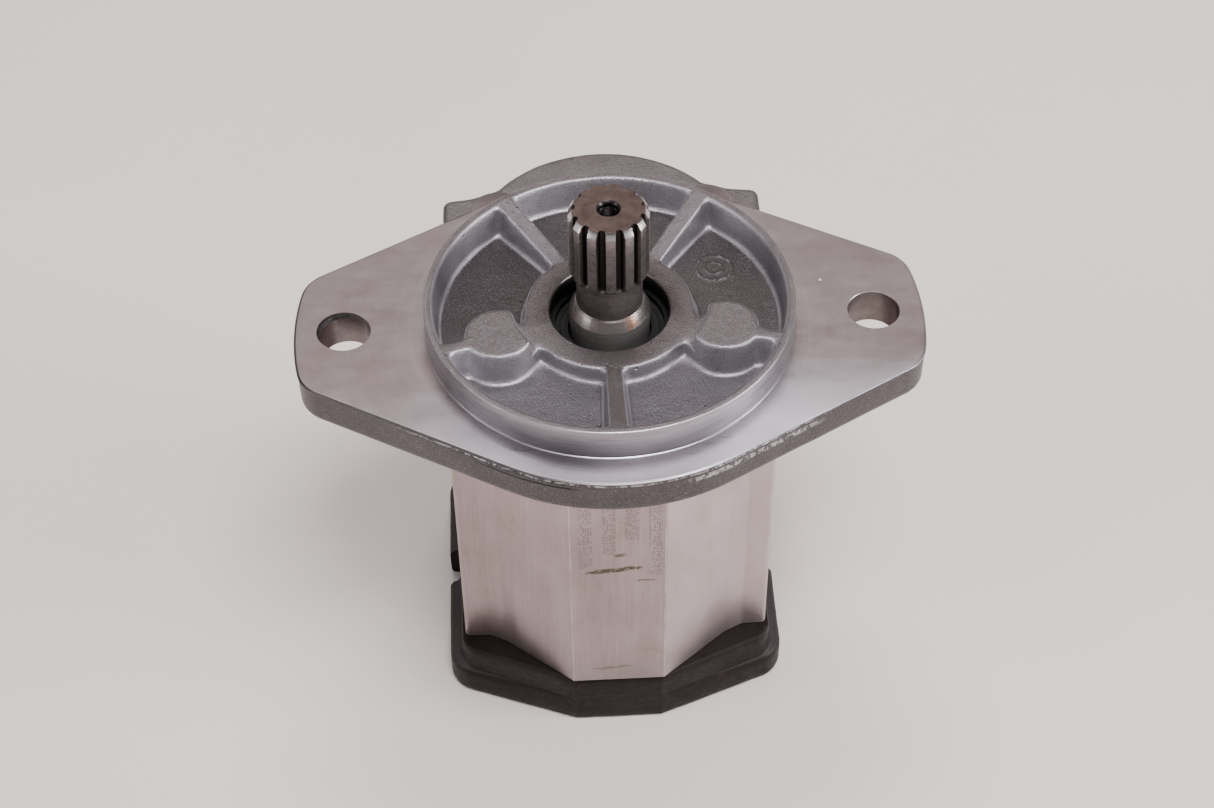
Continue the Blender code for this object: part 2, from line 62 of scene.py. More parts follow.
def rounded(corners, steps=8, closed=True):
    """Polyline of (x, y[, radius]) corners, those with a radius rounded."""
    corners = [c if len(c) == 3 else (*c, 0) for c in corners]
    out = []
    n = len(corners)
    for i, (x, y, r) in enumerate(corners):
        if r == 0 or (not closed and i in (0, n - 1)):
            out.append((x, y))
            continue
        px, py = corners[i - 1][:2]
        nx, ny = corners[(i + 1) % n][:2]
        back = math.atan2(py - y, px - x)
        ahead = math.atan2(ny - y, nx - x)
        turn = (ahead - back + PI) % (2 * PI) - PI
        mid, away = back + turn / 2, r / abs(math.sin(turn / 2))
        start = back - math.copysign(PI / 2, turn)
        end = start + turn - math.copysign(PI, turn)
        out += arc(x + away * math.cos(mid), y + away * math.sin(mid), r,
                   math.degrees(start), math.degrees(end), steps)
    return out


def soft(profile, steps=4):
    """(radius, height[, rounding]) profile with rounded corners."""
    return rounded(profile, steps, False)


def from_right(right, steps):
    """Closed outline from its right half, listed from front to rear; points on x = 0 aren't doubled."""
    left = [(-x, *rest) for x, *rest in reversed(right) if x > 1e-9]
    return rounded(right + left, steps)


def from_quarter(quarter, steps):
    """Closed outline from its right rear quarter, with y measured from MID."""
    front = [(x, MID - y, *r) for x, y, *r in reversed(quarter)]
    return from_right(front + [(x, MID + y, *r) for x, y, *r in quarter], steps)


def resample(outline, n):
    """n points evenly spaced along a closed outline."""
    p = np.array(outline, float)
    q = np.vstack([p, p[:1]])
    seg = np.hypot(*(q[1:] - q[:-1]).T)
    s = np.concatenate([[0], np.cumsum(seg)])
    t = np.linspace(0, s[-1], n, endpoint=False)
    return np.stack([np.interp(t, s, q[:, 0]), np.interp(t, s, q[:, 1])], 1)


def outward(p):
    """Normals of a closed outline, in its plane."""
    d = np.roll(p, -1, 0) - np.roll(p, 1, 0)
    d /= np.hypot(d[:, 0], d[:, 1])[:, None]
    return np.stack([d[:, 1], -d[:, 0]], 1)


def polar(outline, n):
    """Points of a star-shaped outline at n even directions from (0, MID)."""
    p = np.array(outline, float) - (0, MID)
    e = np.roll(p, -1, 0) - p
    out = []
    for t in np.linspace(-PI, PI, n, endpoint=False):
        d = np.array([math.cos(t), math.sin(t)])
        den = d[0] * e[:, 1] - d[1] * e[:, 0]
        den = np.where(np.abs(den) < 1e-12, 1e-12, den)
        u = (p[:, 0] * e[:, 1] - p[:, 1] * e[:, 0]) / den
        v = (p[:, 0] * d[1] - p[:, 1] * d[0]) / den
        ok = (u > 0) & (v >= -1e-9) & (v <= 1 + 1e-9)
        out.append(d * u[ok].max() + (0, MID))
    return np.array(out)


def level(outline, z):
    p = np.asarray(outline, float)
    return np.column_stack([p, np.full(len(p), float(z))])


def around(angles, profile, x=0, y=0):
    """Rings of points in the given directions from (x, y), one for each (radius, height)."""
    c, s = np.cos(angles), np.sin(angles)
    return [np.column_stack([x + r * c, y + r * s, np.full(len(c), z)]) for r, z in profile]


# ---------------------------------------------------------------- meshes
def bridge(a, b, n):
    """Quads between two closed rings of n vertices that start at vertices a and b."""
    return [(a + i, a + (i + 1) % n, b + (i + 1) % n, b + i) for i in range(n)]


def shade(obj, sharp=32):
    obj.data.shade_smooth()
    obj.data.set_sharp_from_angle(angle=math.radians(sharp))


def mesh_of(name, verts, faces, sharp=32):
    mesh = bpy.data.meshes.new(name)
    mesh.from_pydata((np.asarray(verts, float) * MM).tolist(), [], faces)
    bm = bmesh.new()
    bm.from_mesh(mesh)
    bmesh.ops.remove_doubles(bm, verts=bm.verts, dist=1e-7)
    bmesh.ops.recalc_face_normals(bm, faces=bm.faces)
    bm.to_mesh(mesh)
    bm.free()
    obj = bpy.data.objects.new(name, mesh)
    bpy.context.scene.collection.objects.link(obj)
    shade(obj, sharp)
    return obj


def loft(name, rings, loop=False, sharp=32):
    """Surface through rings of equal length, capped at its ends or closed on itself."""
    n = len(rings[0])
    count = len(rings)
    faces = []
    for k in range(count if loop else count - 1):
        faces += bridge(k * n, ((k + 1) % count) * n, n)
    if not loop:
        faces += [tuple(range(n)), tuple(range((count - 1) * n, count * n))]
    return mesh_of(name, np.vstack(rings), faces, sharp)


def lathe(name, profile, segs, x=0, y=0, loop=False):
    """Turned piece from (radius, height) points; a radius of 0 closes on the axis."""
    a = np.linspace(0, 2 * PI, segs, endpoint=False)
    return loft(name, around(a, [(max(r, 1e-4), z) for r, z in profile], x, y), loop)


def straight(r, z0, z1):
    """Profile of a plain cylinder."""
    return [(0, z0), (r, z0), (r, z1), (0, z1)]


def ridges(z, end, half_pitch, first, second):
    """Thread as plain ridges: the two radii by turns, half a pitch apart, from z past the end."""
    profile = []
    while (end - z) * half_pitch > 0:
        profile += [(first, z + half_pitch), (second, z + 2 * half_pitch)]
        z += 2 * half_pitch
    return profile


def prism(name, outline, z0, z1):
    return loft(name, [level(outline, z0), level(outline, z1)])


def lift(obj, height):
    for v in obj.data.vertices:
        v.co.z += height * MM
    return obj


def boolean(obj, tool, operation="DIFFERENCE"):
    mod = obj.modifiers.new("b", "BOOLEAN")
    mod.operation, mod.object, mod.solver = operation, tool, "MANIFOLD"
    dg = bpy.context.evaluated_depsgraph_get()
    mesh = bpy.data.meshes.new_from_object(obj.evaluated_get(dg))
    if len(mesh.polygons) == 0:
        raise RuntimeError("boolean emptied " + obj.name)
    obj.modifiers.clear()
    obj.data = mesh
    bpy.data.objects.remove(tool, do_unlink=True)
    return obj


def paint(obj, *mats):
    obj.data.materials.clear()
    for m in mats:
        obj.data.materials.append(m)
    return obj


def cut(obj, tool, material=None):
    """Take a tool away; the new faces are bored unless a material is given."""
    return boolean(obj, paint(tool, material or BORED))


def drill(obj, places, profile, segs, material=None):
    """The same turned hole at several places."""
    for x, y in places:
        obj = cut(obj, lathe("hole", profile, segs, x, y), material)
    return obj


def settle(obj, body, node):
    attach(obj, body)
    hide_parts(node)


def hash_noise(p, scale, seed):
    """Smooth value noise in [-1, 1] for an (n, 3) array, in mm."""
    q = np.asarray(p, float) / scale
    i = np.floor(q).astype(np.int64)
    f = q - i
    f = f * f * (3 - 2 * f)
    total = np.zeros(len(q))
    for corner in itertools.product((0, 1), repeat=3):
        h = (i + corner) * (73856093, 19349663, 83492791)
        h = h[:, 0] ^ h[:, 1] ^ h[:, 2] ^ (seed * 2654435761)
        h = (h ^ (h >> 13)) * 1274126177 & 0x7fffffff
        total += ((h % 10007) / 5003.5 - 1) * np.where(corner, f, 1 - f).prod(axis=1)
    return total


# ---------------------------------------------------------------- materials
class Value:
    """Output of a shader node; sums with it add math nodes to its graph."""

    def __init__(self, graph, socket):
        self.graph, self.socket = graph, socket

    def __rsub__(self, other):
        return self.graph.math("SUBTRACT", other, self)

    def __abs__(self):
        return self.graph.math("ABSOLUTE", self)


for method, operation in {"add": "ADD", "sub": "SUBTRACT", "mul": "MULTIPLY", "truediv": "DIVIDE",
                          "pow": "POWER", "gt": "GREATER_THAN"}.items():
    setattr(Value, f"__{method}__", lambda a, b, op=operation: a.graph.math(op, a, b))


class Graph:
    """A node material whose colour is laid on in layers, each with its own mask."""

    def __init__(self, name):
        self.mat = bpy.data.materials.new(name)
        self.mat.use_nodes = True
        self.tree = self.mat.node_tree
        self.local = self.node("TexCoord").outputs["Object"]
        self.color = None

    def node(self, kind, inputs=None, **props):
        n = self.tree.nodes.new("ShaderNode" + kind)
        for k, v in props.items():
            setattr(n, k, v)
        for k, v in (inputs or {}).items():
            self.put(n.inputs[k], v)
        return n

    def put(self, socket, value):
        value = getattr(value, "socket", value)
        if hasattr(value, "is_output"):
            self.tree.links.new(value, socket)
        elif value is not None:
            socket.default_value = value

    def value(self, kind, inputs, **props):
        return Value(self, self.node(kind, inputs, **props).outputs[0])

    def math(self, op, a, b=None):
        return self.value("Math", {0: a, 1: b}, operation=op)

    def place(self):
        """x, y and z of the shaded point, in mm."""
        return [Value(self, s) / MM for s in self.node("SeparateXYZ", {0: self.local}).outputs]

    def up(self):
        normal = self.node("NewGeometry").outputs["Normal"]
        return Value(self, self.node("SeparateXYZ", {0: normal}).outputs[2])

    def radius(self, x, y, x0=0, y0=0):
        dx, dy = x - x0, y - y0
        return self.math("SQRT", dx * dx + dy * dy)

    def pair(self, a, b):
        return self.node("CombineXYZ", {0: a, 1: b}).outputs[0]

    def scaled(self, x=1, y=1, z=1, turn=0):
        return self.node("Mapping", {"Vector": self.local, "Scale": (x, y, z),
                                     "Rotation": (0, 0, turn)}).outputs[0]

    def noise(self, scale, detail=2, rough=0.5, vec=None, distort=0):
        return self.value("TexNoise", {"Vector": vec or self.local, "Scale": scale, "Detail": detail,
                                       "Roughness": rough, "Distortion": distort})

    def voronoi(self, scale, vec=None):
        return self.value("TexVoronoi", {"Vector": vec or self.local, "Scale": scale})

    def spots(self, scale, size, vec=None):
        return fit(self.voronoi(scale, vec), size, 0)

    def mix(self, mask, a, b):
        a, b = [(*c, 1) if isinstance(c, tuple) else c for c in (a, b)]
        return self.node("Mix", {"Factor": mask, 6: a, 7: b}, data_type="RGBA").outputs[2]

    def tint(self, mask, color):
        self.color = self.mix(mask, self.color, color)

    def bump(self, height, distance, strength=1, normal=None):
        return self.node("Bump", {"Strength": strength, "Distance": distance, "Height": height,
                                  "Normal": normal}).outputs[0]

    def done(self, rough, metallic, normal, **extra):
        sockets = {"Base Color": self.color, "Roughness": rough, "Metallic": metallic, "Normal": normal}
        sockets.update((k.replace("_", " "), v) for k, v in extra.items())
        for k, v in sockets.items():
            self.put(self.tree.nodes["Principled BSDF"].inputs[k], v)
        return self.mat


def fit(value, lo, hi, to_lo=0, to_hi=1, kind="LINEAR"):
    """How far a value has gone from lo to hi, as a number from to_lo to to_hi."""
    return value.graph.value("MapRange", {"Value": value, "From Min": lo, "From Max": hi,
                                          "To Min": to_lo, "To Max": to_hi}, interpolation_type=kind)


def ease(value, lo, hi, to_lo=0, to_hi=1):
    return fit(value, lo, hi, to_lo, to_hi, "SMOOTHSTEP")


def cast_aluminium():
    g = Graph("flange_as_cast")
    x, y, z = g.place()
    above = z - FACE
    r = g.radius(x, y)
    cloud = g.noise(150, 4, 0.6)
    grain = g.noise(2050, 4, 0.7)
    pores = g.spots(300, 0.16) * fit(g.noise(110, 2), 0.57, 0.64)
    up = ease(g.up(), 0.8, 0.985)
    g.color = g.mix(fit(g.noise(30, 4, 0.55), 0.3, 0.7), (0.345, 0.325, 0.345), (0.46, 0.44, 0.465))
    g.tint(fit(cloud, 0.4, 0.7) * 0.4, (0.215, 0.19, 0.19))
    # upward faces painted a darker brown: a painted reflection of warm surroundings
    g.tint(up * 0.85, g.mix(fit(cloud, 0.35, 0.65), (0.088, 0.069, 0.064), (0.13, 0.108, 0.104)))
    # inside the pilot: hub and rib tops in the same painted brown reflection, then pocket floors painted
    # darker as shade, browner towards the rear and darkest at the back left, all painted shade
    inside = fit(r, 50, 49.5) * fit(above, -1, -0.5)
    g.tint(inside * fit(above, 3.5, 5.2) * up * 0.75, (0.112, 0.094, 0.093))
    bed = g.mix(ease(y, -24, 4), (0.082, 0.074, 0.083), (0.034, 0.026, 0.024))
    bed = g.mix(ease(x, 0, -20) * fit(y, -20, 0), bed, (0.014, 0.01, 0.009))
    g.tint(inside * fit(above, 1.8, 0.2) * up * 0.8, bed)
    # darker round the bore, more so towards the rear
    bore_darkening = fit(r, 26.2, 17.2) * inside * up * fit(y, -14, 0, 0.25, 1)
    g.tint(bore_darkening * fit(cloud, 0.3, 0.6, 0.5, 0.95), (0.032, 0.023, 0.02))
    # upright faces outside the pilot painted dark: painted shade
    outer = (1 - inside) * (1 - up)
    g.tint(outer * 0.86, (0.028, 0.021, 0.02))
    calm = fit(up, 0, 1, 1, 0.64) * fit(inside, 0, 1, 0.3, 0.42)
    g.tint(fit(grain, 0.54, 0.7) * calm, (0.46, 0.44, 0.47))
    g.tint(fit(grain, 0.3, 0.46, 0.6, 0), (0.045, 0.038, 0.037))
    g.tint(pores * 0.9, (0.03, 0.027, 0.025))
    # the plate's front edge: a thin dark line on the left, painted shade under a small step; a burr under
    # the chamfer and a seam on the right, painted light, partly bright torn metal and partly a painted
    # highlight
    front = fit(y, -34, -42)
    step_shade = fit(above, -3.4, -3.2) * fit(above, -2.6, -2.8) * fit(x, -40, -34) * fit(x, -10, -14)
    g.tint(step_shade * outer * front, (0.012, 0.01, 0.01))
    burr = fit(above, -1.75, -1.4) * fit(above, -0.9, -1.2) * front
    seam = fit(above, -4.5, -3.9) * fit(above, -2.3, -2.8) * fit(x, 16, 21) * fit(x, 56, 50)
    torn = g.math("MAXIMUM", burr, seam * fit(y, -20, -26))
    ragged = fit(g.noise(680, 4, 0.75, g.scaled(1, 1, 0.7)), 0.47, 0.53)
    g.tint(torn * outer * ragged, (0.45, 0.428, 0.434))
    height = grain + g.voronoi(2000) * 0.5 + g.noise(600, 3, 0.6) * 0.55
    n = g.bump(height, 0.00016, 0.8)
    return g.done(fit(grain, 0.3, 0.7, 0.31, 0.46), 0.82, g.bump(pores * -1, 0.0005, 0.8, n))


def machined_aluminium():
    g = Graph("flange_machined")
    x, y, z = g.place()
    r = g.radius(x, y)
    lines = g.noise(1, 3, 0.75, g.pair(r * 3.3, z * 3.3))
    bands = g.noise(1, 2, 0.6, g.pair(r * 0.52, z * 0.52))
    broad = g.noise(22, 4, 0.6, distort=0.4)
    smear = g.noise(85, 4, 0.65, g.scaled(1, 2.4, 1, 0.5))
    stain = ease(broad, 0.5, 0.68)
    g.color = g.mix(fit(smear, 0.3, 0.75), (0.235, 0.189, 0.187), (0.295, 0.245, 0.244))
    g.tint(stain * 0.65, (0.185, 0.142, 0.13))
    g.tint(g.spots(85, 0.05) * 0.6, (0.16, 0.14, 0.12))
    g.tint(g.spots(150, 0.035, g.scaled(1.3, 1, 1, 1)) * 0.7, (0.85, 0.85, 0.86))
    g.tint(fit(lines, 0.42, 0.66, 0, 0.14), (0.17, 0.152, 0.155))
    g.tint(fit(bands, 0.45, 0.75, 0, 0.16) * fit(r, 50, 66, 1, 0.25), (0.46, 0.43, 0.46))
    # a painted highlight near the pilot's front, a painted reflection towards the front right, and painted
    # shade in the front middle
    turned = ease(r, 52.5, 70, 0.7, 0.25) * ease(y, -15, -48)
    g.tint(turned * fit(broad, 0.35, 0.6, 1, 0.6), (0.42, 0.4, 0.435))
    right_front_reflection = ease(x, 0, 45) * ease(y, -12, -42)
    g.tint(right_front_reflection * 0.6, (0.66, 0.64, 0.68))
    middle = ease(abs(x), 40, 8) * ease(y, -28, -50)
    g.tint(middle * 0.5, (0.15, 0.138, 0.15))
    # a small painted highlight on the right of the plate
    g.tint(fit(g.radius(x, y, 59.6, 12.8), 0.5, 0.35) * 0.9, (0.92, 0.92, 0.92))
    smudge = fit(g.noise(230, 4, 0.65, g.scaled(0.5, 2.2, 1)), 0.56, 0.68)
    g.tint(fit(r, 54.8, 53.5) * fit(y, -32, -44) * smudge * 0.62, (0.05, 0.048, 0.05))
    # the pilot's upright wall: turning streaks, painted lighter than the plate as a painted highlight, and
    # darker low down in the front middle as painted shade
    up = g.up()
    streak = g.noise(1700, 3, 0.7, g.scaled(0.04, 0.04, 1))
    side = g.mix(fit(streak, 0.36, 0.66), (0.57, 0.55, 0.585), (0.38, 0.355, 0.362))
    side = g.mix(ease(z, 142.5, 136.2) * middle * 0.6, side, (0.11, 0.104, 0.112))
    side = g.mix(middle * 0.35, side, (0.25, 0.22, 0.215))
    g.tint(fit(up, 0.75, 0.35), side)
    # sloped bevels and chamfers painted lighter: a painted highlight
    bevel = fit(up, 0.985, 0.93) * fit(up, 0.6, 0.72)
    g.tint(bevel * 0.4, (0.7, 0.69, 0.72))
    # the painted highlight on the plate's broken edge stays only on its right-hand stretch; elsewhere the
    # edge is painted dark as shade
    g.tint(bevel * fit(r, 54, 56) * fit(x, 20, 8) * 0.85, (0.1, 0.086, 0.084))
    n = g.bump(lines, 0.00005, 0.7)
    n = g.bump(g.noise(520, 3, 0.6), 0.00005, 0.3, n)
    return g.done(fit(smear, 0.25, 0.8, 0.29, 0.41) + stain * 0.08, 0.96, n)


def dot_field(g, x, z):
    """Plain dot peening: random dots in four upright bands of unequal length, with no text."""
    u, v = x * 1.5, z * 1.5
    spot = g.radius(g.math("FRACT", u), g.math("FRACT", v), 0.5, 0.5)
    cell = g.pair(g.math("FLOOR", u), g.math("FLOOR", v))
    toss = g.value("TexWhiteNoise", {"Vector": cell}, noise_dimensions="2D")
    row = x * 0.1527 + 0.889
    rank = g.math("FLOOR", row)
    lowest = rank * 6 + 79.3 - (rank > 1.5) * 22
    area = fit(abs(g.math("FRACT", row) - 0.5), 0.3, 0.28) * (z > lowest)
    area = area * fit(abs(x), 12.9, 12.7)
    return fit(spot, 0.45, 0.3) * area * (toss > 0.4)


def extruded_aluminium():
    g = Graph("body_extrusion")
    x, y, z = g.place()
    fine = g.noise(2400, 2, 0.6, g.scaled(1, 1, 0.012))
    streak = g.noise(300, 3, 0.6, g.scaled(1, 1, 0.05))
    cloud = g.noise(75, 5, 0.65, g.scaled(1, 1, 0.55))
    broad = g.noise(24, 3, 0.55)
    g.color = g.mix(fit(cloud, 0.32, 0.68), (0.3, 0.236, 0.226), (0.4, 0.324, 0.315))
    g.tint(fit(streak, 0.45, 0.7, 0, 0.2), (0.47, 0.4, 0.395))
    g.tint(fit(broad, 0.48, 0.7, 0, 0.35), (0.26, 0.195, 0.178))
    g.tint(fit(fine, 0.48, 0.7, 0, 0.2), (0.54, 0.48, 0.475))
    olive = fit(g.noise(95, 5, 0.7), 0.6, 0.67) * fit(broad, 0.45, 0.55)
    g.tint(olive * 0.32, (0.2, 0.165, 0.09))
    g.tint(g.spots(190, 0.05) * 0.6, (0.13, 0.11, 0.1))
    g.tint(g.spots(260, 0.045, g.scaled(1.2, 1, 0.8, 0.7)) * 0.6, (0.85, 0.84, 0.83))
    # the right oblique facet painted lighter: a painted sheen
    right_facet = fit(x, 13.8, 14.2) * fit(y, -17, -17.5)
    g.tint(right_facet * fit(cloud, 0.3, 0.7, 0.35, 0.75), (0.56, 0.495, 0.49))
    # painted shade low on the body, next to the cover
    g.tint(ease(z, 33, 21) * fit(g.noise(60, 3), 0.38, 0.6) * 0.5, (0.16, 0.14, 0.13))
    # painted highlights along the edges of the front and rear flats
    edge = fit(abs(abs(x) - 13.6), 0.28, 0.1) * fit(abs(y - MID), 53, 53.5)
    g.tint(edge * fit(g.noise(180, 3), 0.35, 0.6, 0.08, 0.42), (0.72, 0.71, 0.7))
    # oily scuffs on the front flat: middle (x, z), half length, half width, strength
    front = fit(y, -36.8, -37.2)
    wave = (g.noise(240, 3) - 0.5) * 2.2
    torn = fit(g.noise(700, 3, 0.7), 0.32, 0.46)
    for x0, z0, half, thick, weight in ((-1.2, 72.2, 8.6, 1.05, 0.92), (0.6, 78.8, 1.9, 0.6, 0.75),
                                        (8, 67.2, 3, 0.4, 0.7), (-2, 26.2, 6, 0.6, 0.45)):
        dz = (z - z0 - ((x - x0) * 0.1 + wave)) / thick
        hit = abs((x - x0) / half) ** 6 + dz * dz
        g.tint(fit(hit, 1.1, 0.3) * front * torn * weight, (0.07, 0.056, 0.024))
    dots = dot_field(g, x, z) * front
    g.tint(dots * 0.62, (0.17, 0.145, 0.14))
    n = g.bump(fine, 0.00003, 0.7)
    n = g.bump(g.noise(620, 3, 0.6), 0.00005, 0.35, n)
    return g.done(fit(cloud, 0.3, 0.75, 0.33, 0.46), 0.82, g.bump(dots * -1, 0.00012, 0.8, n))


def bored_aluminium():
    g = Graph("bored_aluminium")
    x, y, z = g.place()
    lines = g.noise(1500, 3, 0.7, g.scaled(0.05, 0.05, 1))
    g.color = g.mix(fit(g.noise(120, 3, 0.6), 0.3, 0.7), (0.15, 0.122, 0.115), (0.205, 0.178, 0.172))
    g.tint(fit(g.noise(420, 5, 0.7), 0.42, 0.66, 0, 0.25), (0.07, 0.056, 0.05))
    # painted shade deep in the bore
    g.tint(fit(g.radius(x, y), 17.7, 17.5) * fit(z, 139.8, 137.5) * 0.85, (0.012, 0.01, 0.009))
    return g.done(fit(lines, 0.3, 0.7, 0.3, 0.48), 0.88, g.bump(lines, 0.00006, 0.8))


def cast_iron():
    g = Graph("cover_black")
    grain = g.noise(1500, 4, 0.65)
    peel = g.noise(480, 3, 0.55)
    g.color = g.mix(fit(g.noise(45, 4, 0.6), 0.3, 0.7), (0.005, 0.0035, 0.0031), (0.0125, 0.0092, 0.0084))
    # upward faces low on the cover, the ledge, painted lighter: a painted sheen
    g.tint(fit(g.up(), 0.5, 0.9) * fit(g.place()[2], 16, 14) * 0.85, (0.04, 0.034, 0.036))
    g.tint(fit(g.noise(160, 5, 0.7), 0.6, 0.7) * 0.22, (0.06, 0.046, 0.042))
    g.tint(fit(grain, 0.6, 0.72, 0, 0.25), (0.07, 0.058, 0.05))
    return g.done(fit(peel, 0.3, 0.7, 0.38, 0.55), 0, g.bump(peel + grain * 0.6, 0.00022, 0.85),
                  Specular_IOR_Level=0.15, Specular_Tint=(1, 0.86, 0.82, 1))


def shaft_steel():
    g = Graph("shaft_steel")
    x, y, z = g.place()
    r = g.radius(x, y)
    lines = g.noise(2200, 3, 0.7, g.scaled(0.03, 0.03, 1))
    tilt = g.up()
    up = ease(tilt, 0.93, 0.98)
    end = up * fit(z, 175.5, 176.2)
    g.color = g.mix(fit(g.noise(85, 4, 0.6), 0.3, 0.7), (0.17, 0.145, 0.14), (0.27, 0.24, 0.235))
    g.tint(fit(g.noise(420, 4, 0.7), 0.5, 0.66, 0, 0.5), (0.12, 0.095, 0.08))
    brown = fit(g.noise(240, 5, 0.65), 0.35, 0.62)
    g.tint(end * 0.95, g.mix(brown, (0.05, 0.031, 0.025), (0.094, 0.064, 0.053)))
    # chamfers painted lighter, more so higher up: a painted highlight
    cone = fit(tilt, 0.25, 0.45) * fit(tilt, 0.9, 0.8)
    g.tint(cone * fit(z, 150, 170, 0.08, 0.75), (0.6, 0.58, 0.6))
    # painted shade in the splines' roots, which lie below the tips' radius
    g.tint(fit(r, 10.2, 9.6) * fit(z, 154.5, 155.5) * (1 - up) * 0.92, (0.018, 0.013, 0.011))
    collar = fit(z, 140, 140.5) * fit(z, 144.2, 143.8)
    g.tint(collar * 0.5, (0.2, 0.17, 0.155))
    rust = fit(g.radius(x, y, 5.2, -8.2), 2.4, 1.2) * fit(g.noise(520, 4, 0.65), 0.44, 0.54)
    g.tint(collar * rust * 0.65, (0.36, 0.14, 0.05))
    # painted shade inside the centre hole
    g.tint(fit(r, 3.2, 2.9) * fit(z, 176.2, 175.8), (0.022, 0.02, 0.019))
    # the collar's upright side painted lighter and less metallic: a painted reflection
    journal = fit(z, 140.9, 140.4) * fit(tilt, 0.3, 0.1)
    g.tint(journal * 0.7, (0.24, 0.222, 0.212))
    n = g.bump(lines, 0.00003, 0.6)
    n = g.bump(g.noise(650, 3, 0.6), 0.00006, 0.35, n)
    rough = fit(lines, 0.3, 0.7, 0.24, 0.37) + end * 0.12
    return g.done(rough, fit(journal, 0, 1, 0.88, 0.6), n)


def plain_metal(name, color, rough, scale=900, metallic=0.95, gloss=0.5):
    g = Graph(name)
    fine = g.noise(scale, 3, 0.65)
    cloud = g.noise(scale * 0.08, 3, 0.6)
    g.color = g.mix(fit(cloud, 0.3, 0.7), color, tuple(c * 0.75 for c in color))
    g.tint(fit(fine, 0.58, 0.72, 0, 0.25), tuple(min(1, c * 1.4) for c in color))
    rough = fit(fine, 0.3, 0.7, rough - 0.07, rough + 0.08)
    return g.done(rough, metallic, g.bump(fine, 0.00004, 0.6), Specular_IOR_Level=gloss)


def rubber():
    g = Graph("seal_rubber")
    fine = g.noise(1300, 3, 0.6)
    g.color = g.mix(fit(g.noise(150, 3), 0.3, 0.7), (0.004, 0.0036, 0.0035), (0.009, 0.008, 0.0078))
    rough = fit(fine, 0.3, 0.7, 0.45, 0.65)
    return g.done(rough, 0, g.bump(fine, 0.00004, 0.6), Specular_IOR_Level=0.15)


def backup_plastic():
    g = Graph("backup_plastic")
    g.color = g.mix(g.noise(200, 3), (0.7, 0.66, 0.55), (0.78, 0.74, 0.64))
    rough = fit(g.noise(900, 2), 0.3, 0.7, 0.4, 0.55)
    return g.done(rough, 0, g.bump(g.noise(1100, 2), 0.00003, 0.5))


CAST = cast_aluminium()
MACHINED = machined_aluminium()
BODY = extruded_aluminium()
BORED = bored_aluminium()
IRON = cast_iron()
SHAFT = shaft_steel()
BRIGHT_ALU = plain_metal("port_face", (0.5, 0.49, 0.485), 0.3)
GEAR = plain_metal("gear_steel", (0.42, 0.41, 0.4), 0.3)
BLACK_STEEL = plain_metal("black_steel", (0.005, 0.0043, 0.0041), 0.5, 700, 0, 0.12)
BRIGHT = plain_metal("bright_steel", (0.52, 0.52, 0.53), 0.28)
BLOCK = plain_metal("block_aluminium", (0.58, 0.58, 0.59), 0.33)
BRONZE = plain_metal("bush_bronze", (0.52, 0.34, 0.17), 0.32)
RUBBER = rubber()
BACKUP = backup_plastic()


# ---------------------------------------------------------------- pilot dish, heights above the face
FLOOR = 0.1                             # pocket floors
HUB_TOP, RIM_TOP, BOSS_TOP = 5, 9.7, 9.6
HUB_R, RIM_R, PILOT_R = 23.4, 48.3, 50.8
BOSS_X, BOSS_Y, BOSS_R = 30.5, -12.5, 9.2
RIBS = (-90, 55.2, 124.8)
SEAT_R, SEAT_DEPTH = 53, -10.5        # where the dish is let into the flange casting
HOLE_R = 11.7                           # shaft hole under the seal


def wall(d, top, edge=1.05, slope=8, fillet=1.75):
    """Height of a raised feature at distance d outside its edge: rounded edge, drafted wall, fillet."""
    w = np.maximum((top - FLOOR - edge - fillet) / slope, 0)
    r = np.minimum(fillet, np.maximum(top - FLOOR - edge, 0.05))
    z = np.where(d <= -edge, top, FLOOR)
    shoulder = top - (edge - np.sqrt(np.maximum(edge * edge - (d + edge) ** 2, 0)))
    z = np.where((d > -edge) & (d <= 0), shoulder, z)
    z = np.where((d > 0) & (d <= w), top - edge - slope * d, z)
    foot = FLOOR + r - np.sqrt(np.maximum(r * r - (w + r - d) ** 2, 0))
    return np.where((d > w) & (d <= w + r), foot, z)


def smin(a, b, k):
    """Minimum of two distances with a round join."""
    h = np.clip(0.5 + 0.5 * (b - a) / k, 0, 1)
    return b * (1 - h) + a * h - k * h * (1 - h)


def boss_disc(x, y, side):
    return np.hypot(x - side * BOSS_X, y - BOSS_Y) - BOSS_R


def boss_edge(x, y, side):
    """Distance outside one boss with its web, the boss cut back round the hub."""
    boss = -smin(-boss_disc(x, y, side), np.hypot(x, y) - 26.9, 0.9)
    x0, y0, dx, dy = side * 34, -14.6, side * 15, -4.6
    t = np.clip(((x - x0) * dx + (y - y0) * dy) / (dx * dx + dy * dy), 0, 1)
    web = np.hypot(x - x0 - t * dx, y - y0 - t * dy) - 2.05
    return smin(boss, web, 1.7)


def crowd(x, y):
    """Shift sample points along the boss walls' normals so that more of them stand on the walls."""
    mid, reach, rate, step = 0.45, 2.9, 0.34, 0.02
    for side in (-1, 1):
        d = boss_edge(x, y, side)
        gx = (boss_edge(x + step, y, side) - boss_edge(x - step, y, side)) / (2 * step)
        gy = (boss_edge(x, y + step, side) - boss_edge(x, y - step, side)) / (2 * step)
        u = np.clip((d - mid) / reach, -1, 1)
        shift = reach * (rate * u + (1 - rate) * u ** 3) - reach * u
        r = np.hypot(x, y)
        fade = np.clip((48.2 - r) / 1.5, 0, 1) * np.clip((r - 23.8) / 1.5, 0, 1)
        x, y = x + shift * gx * fade, y + shift * gy * fade
    return x, y


def rib(x, y, angle):
    """Distance outside a rib, and its top, which climbs from the hub to the rim."""
    c, s = math.cos(math.radians(angle)), math.sin(math.radians(angle))
    along = x * c + y * s
    half = 2.2 + 0.014 * (along - 23)
    d = np.where(along > 5, np.abs(-x * s + y * c) - half, 30)
    return d, 4.97 + np.clip(along - 23.2, 0, 30) * 0.182


